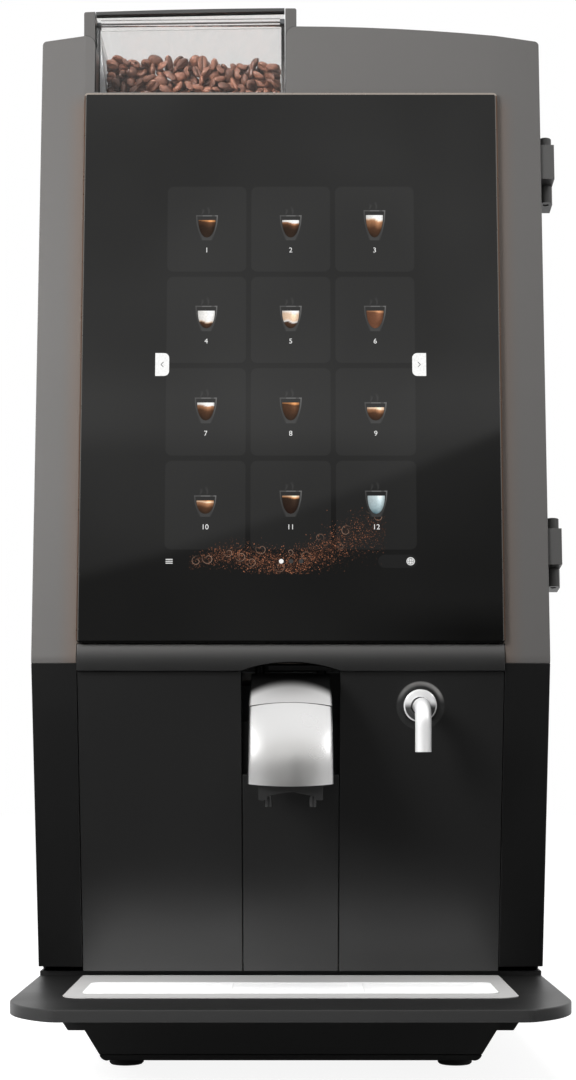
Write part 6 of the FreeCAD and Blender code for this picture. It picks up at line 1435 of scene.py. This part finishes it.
# %% [markdown]
# ## Small pieces of the hopper
# The clear lid has a turned-down front with a dark seal, whose edges show as fine lines that rise
# with the lid towards the right. Two brackets carry it at the front corners, an arm runs down at
# the left, and the bin has an inner slope of grey plastic that guides the beans. Light from the
# lamps passes the clear plastic, so the bin and the lid cast no shadow on the beans.

# %% Bars with rounded edges
BOX_FACES = [(0, 3, 2, 1), (4, 5, 6, 7), (0, 1, 5, 4), (1, 2, 6, 5), (2, 3, 7, 6), (3, 0, 4, 7)]


def bar(name, corners, material, body, edge=0.3):
    """A solid between two rectangles, given by its eight corners in millimetres."""
    corners = [[value * MM for value in corner] for corner in corners]
    piece = new_piece(name, corners, BOX_FACES, material)
    piece.data.shade_smooth()
    soft_edges(piece, edge, segments=3)
    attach(piece, body)


def block(name, low, high, material, body, edge=0.3):
    """A bar along the axes between two opposite corners."""
    (x1, y1, z1), (x2, y2, z2) = low, high
    corners = [(x, y, z) for z in (z1, z2) for x, y in ((x1, y1), (x2, y1), (x2, y2), (x1, y2))]
    bar(name, corners, material, body, edge)


def rail(name, front, back, low_left, low_right, tall, material, body):
    """A thin line across the hopper's front that rises towards the right."""
    corners = [
        (x, y, low + lift)
        for lift in (0, tall)
        for x, y, low in (
            (RAIL_LEFT, front, low_left), (RAIL_RIGHT, front, low_right),
            (RAIL_RIGHT, back, low_right), (RAIL_LEFT, back, low_left),
        )
    ]
    bar(name, corners, material, body, tall * 0.25)


# %% Rims, brackets, arm and slope
RAIL_LEFT, RAIL_RIGHT = -132.6, -7.4
BRACKET_WIDE, BRACKET_TALL, BRACKET_FOOT = 3.4, 3.8, 0.9
smoked_rim = plain(
    "smoked_rim_plastic", (0.17, 0.165, 0.16), (0.14, 0.136, 0.132), (0.20, 0.30), patch=30
)
pale_rim = plain(
    "pale_rim_plastic", (0.46, 0.45, 0.44), (0.42, 0.41, 0.40), (0.15, 0.25), patch=30
)
rail("lid_lip_edge", -33.2, -32.2, 710.6, 712.0, 0.5, pale_rim, "lid")
rail("seal_upper_edge", -33.4, -31.6, 707.8, 709.4, 0.8, smoked_rim, "lid")
rail("seal_lower_edge", -33.2, -31.6, 706.0, 707.6, 0.45, smoked_rim, "lid")
rail("bin_rim_edge", -36.3, -35.75, 701.9, 703.9, 0.5, pale_rim, "cabinet")
for name, left, low in (("lid_bracket_left", -136.0, 706.5), ("lid_bracket_right", -7.6, 709.2)):
    right, foot = left + BRACKET_WIDE, low - BRACKET_FOOT
    block(name, (left, -31.0, low), (right, -26.0, low + BRACKET_TALL), case_grey, "lid", 0.6)
    block(name + "_foot", (left, -31.2, foot), (right, -26.5, low), rubber, "lid")
block("lid_arm", (-136.0, -34.2, 676.5), (-132.9, -31.8, 705.0), dark_plastic, "cabinet", 1.1)
SLOPE_OUT, SLOPE_IN_LOW, SLOPE_IN_HIGH = -133.3, -127.2, -132.6
SLOPE_FRONT, SLOPE_BACK, SLOPE_LOW, SLOPE_HIGH = -33.0, 139.2, 643.0, 697.0
slope_corners = [
    (x, y, z)
    for inner, z in ((SLOPE_IN_LOW, SLOPE_LOW), (SLOPE_IN_HIGH, SLOPE_HIGH))
    for x, y in (
        (SLOPE_OUT, SLOPE_FRONT), (inner, SLOPE_FRONT), (inner, SLOPE_BACK), (SLOPE_OUT, SLOPE_BACK)
    )
]
bar("bean_slope", slope_corners, galvanised, "cabinet", 0.1)
for node in ("hopper_bin", "hopper_lid"):
    nodes[node].visible_shadow = False
print("slope for the beans:", SLOPE_HIGH - SLOPE_LOW, "mm high")

# %% [markdown]
# A thin dark cord runs along the edge of the door's notch for the hopper: a dark line put where the
# gap between the door and the bin lies in shade, a painted shadow. It is a round cord laid along
# the edge, rounded with the notch's upper corners.

# %% Round cord for the shadow line
def round_seal(name, points, radius, material, body, sides=10):
    """A round strip through points, in millimetres."""
    corners = []
    for place, before, after in zip(points, points[:1] + points, points[1:] + points[-1:]):
        along = (Vector(after) - Vector(before)).normalized()
        across = along.cross(Vector((0, 1, 0))).normalized()
        outward = along.cross(across)
        for side in range(sides):
            turn = 2 * math.pi * side / sides
            shift = across * math.cos(turn) + outward * math.sin(turn)
            corners.append((Vector(place) + shift * radius) * MM)
    faces = joined_rings(len(points), sides) + [tuple(range(sides))[::-1]]
    faces.append(tuple(range(len(corners) - sides, len(corners))))
    piece = new_piece(name, corners, faces, material)
    piece.data.shade_smooth()
    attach(piece, body)


# %% Shadow line along the notch
NOTCH_LEFT, NOTCH_RIGHT, NOTCH_LOW, NOTCH_CORNER = -131.5, -3.2, 642.5, 7.0
DOOR_FRONT, DOOR_FOOT, SHADOW_CORD_ROUND, CORNER_STEPS = -135.6, 255.7, 0.42, 8


def front_of_door(up):
    """Depth of the door's leaning front at a height, in millimetres."""
    return DOOR_FRONT + (up - DOOR_FOOT) * math.tan(LEAN)


def crown_at(across):
    """Height of the door's arched top at a place, in millimetres."""
    high = [corner.co.z for corner in nodes["door_surround"].data.vertices
            if abs(corner.co.x - across * MM) < 9 * MM]
    return max(high) / MM


# a dark cord as painted shadow of the gap round the notch
for name, edge, away in (("notch_shadow_line_left", NOTCH_LEFT, -1), ("notch_shadow_line_right", NOTCH_RIGHT, 1)):
    top = crown_at(edge + away * NOTCH_CORNER)
    path = [(edge, NOTCH_LOW), (edge, (NOTCH_LOW + top) / 2), (edge, top - NOTCH_CORNER)]
    for step in range(1, CORNER_STEPS + 1):
        turn = math.radians(90 * step / CORNER_STEPS)
        across = edge + away * NOTCH_CORNER * (1 - math.cos(turn))
        path.append((across, top - NOTCH_CORNER * (1 - math.sin(turn))))
    points = [(across, front_of_door(up), up) for across, up in path]
    round_seal(name, points, SHADOW_CORD_ROUND, rubber, "door")
    print(name, "top at", round(top, 1), "mm")

# %% [markdown]
# ## Back and sides
# The sheets are held by button-head screws with a hexagon socket. On the back sits a blank rating
# plate of thin metal, fixed with four rivets, ruled into rows.

# %% Screw heads
HEAD_RINGS = [
    (1.0, -0.1), (1.0, 0.16), (0.93, 0.34), (0.75, 0.47), (0.47, 0.52), (0.40, 0.50), (0.38, 0.15),
]
HEAD_SIDES, SOCKET_RING, SOCKET_DEEP = 24, 5, 0.12


def head_corners(place, out, radius):
    """Corners of one button head with a hexagon socket: its rings, then the socket's middle."""
    across = Vector((0, 0, 1)).cross(out).normalized()
    up = out.cross(across)
    corners = []
    for ring, (reach, lift) in enumerate(HEAD_RINGS):
        for side in range(HEAD_SIDES):
            turn = 2 * math.pi * side / HEAD_SIDES
            size = reach
            if ring >= SOCKET_RING:
                size *= 0.87 / math.cos(turn % (math.pi / 3) - math.pi / 6)
            shift = across * math.cos(turn) * size + up * math.sin(turn) * size + out * lift
            corners.append((Vector(place) + shift * radius) * MM)
    return corners + [(Vector(place) + out * radius * SOCKET_DEEP) * MM]


def screw_heads(name, places, out, radius, material):
    """Button heads at places (in millimetres) on the cabinet, looking out along an axis."""
    corners, faces = [], []
    for place in places:
        first = len(corners)
        corners += head_corners(place, Vector(out), radius)
        faces += joined_rings(len(HEAD_RINGS), HEAD_SIDES, first)
        middle = len(corners) - 1
        last = middle - HEAD_SIDES
        faces += [
            (last + side, last + (side + 1) % HEAD_SIDES, middle) for side in range(HEAD_SIDES)
        ]
    piece = new_piece(name, corners, faces, material)
    piece.data.shade_smooth()
    piece.data.set_sharp_from_angle(angle=math.radians(50))
    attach(piece, "cabinet")


BACK, SIDE = 256.0, 167.5
BACK_HEAD, SIDE_HEAD, RIVET_HEAD = 3.4, 2.9, 1.3
back_places = [(x, BACK, z) for x in (-156, 156) for z in (68, 255, 450, 640)]
back_places += [(x, BACK, z) for x in (-55, 55) for z in (68, 664)]
screw_heads("back_screws", back_places, (0, 1, 0), BACK_HEAD, galvanised)
side_places = [(246, 68), (246, 360), (246, 655), (90, 68), (90, 662), (-40, 68)]
for name, out in (("left_screws", -1), ("right_screws", 1)):
    places = [(out * SIDE, y, z) for y, z in side_places]
    screw_heads(name, places, (out, 0, 0), SIDE_HEAD, dark_plastic)
print("screws:", len(back_places) + 2 * len(side_places))

# %% Rating plate
PLATE_LEFT, PLATE_LOW, PLATE_WIDE, PLATE_TALL, PLATE_THICK = -118.0, 300.0, 74.0, 46.0, 0.5
RIVET_IN, LINES, LINE_IN, LINE_LOW, LINE_STEP, LINE_TALL = 3, 5, 7, 8, 7.4, 0.5
plate_end, plate_top = PLATE_LEFT + PLATE_WIDE, PLATE_LOW + PLATE_TALL
plate_face = BACK + PLATE_THICK
block(
    "rating_plate", (PLATE_LEFT, BACK - 0.3, PLATE_LOW), (plate_end, plate_face, plate_top),
    satin_silver, "cabinet", 0.25,
)
rivets = [
    (x, plate_face, z)
    for x in (PLATE_LEFT + RIVET_IN, plate_end - RIVET_IN)
    for z in (PLATE_LOW + RIVET_IN, plate_top - RIVET_IN)
]
screw_heads("plate_rivets", rivets, (0, 1, 0), RIVET_HEAD, galvanised)
for row in range(LINES):
    low = PLATE_LOW + LINE_LOW + row * LINE_STEP
    block(
        f"plate_line_{row}", (PLATE_LEFT + LINE_IN, BACK + 0.3, low),
        (plate_end - LINE_IN, plate_face + 0.06, low + LINE_TALL), rubber, "cabinet", 0.03,
    )
print("lines on the plate:", LINES)
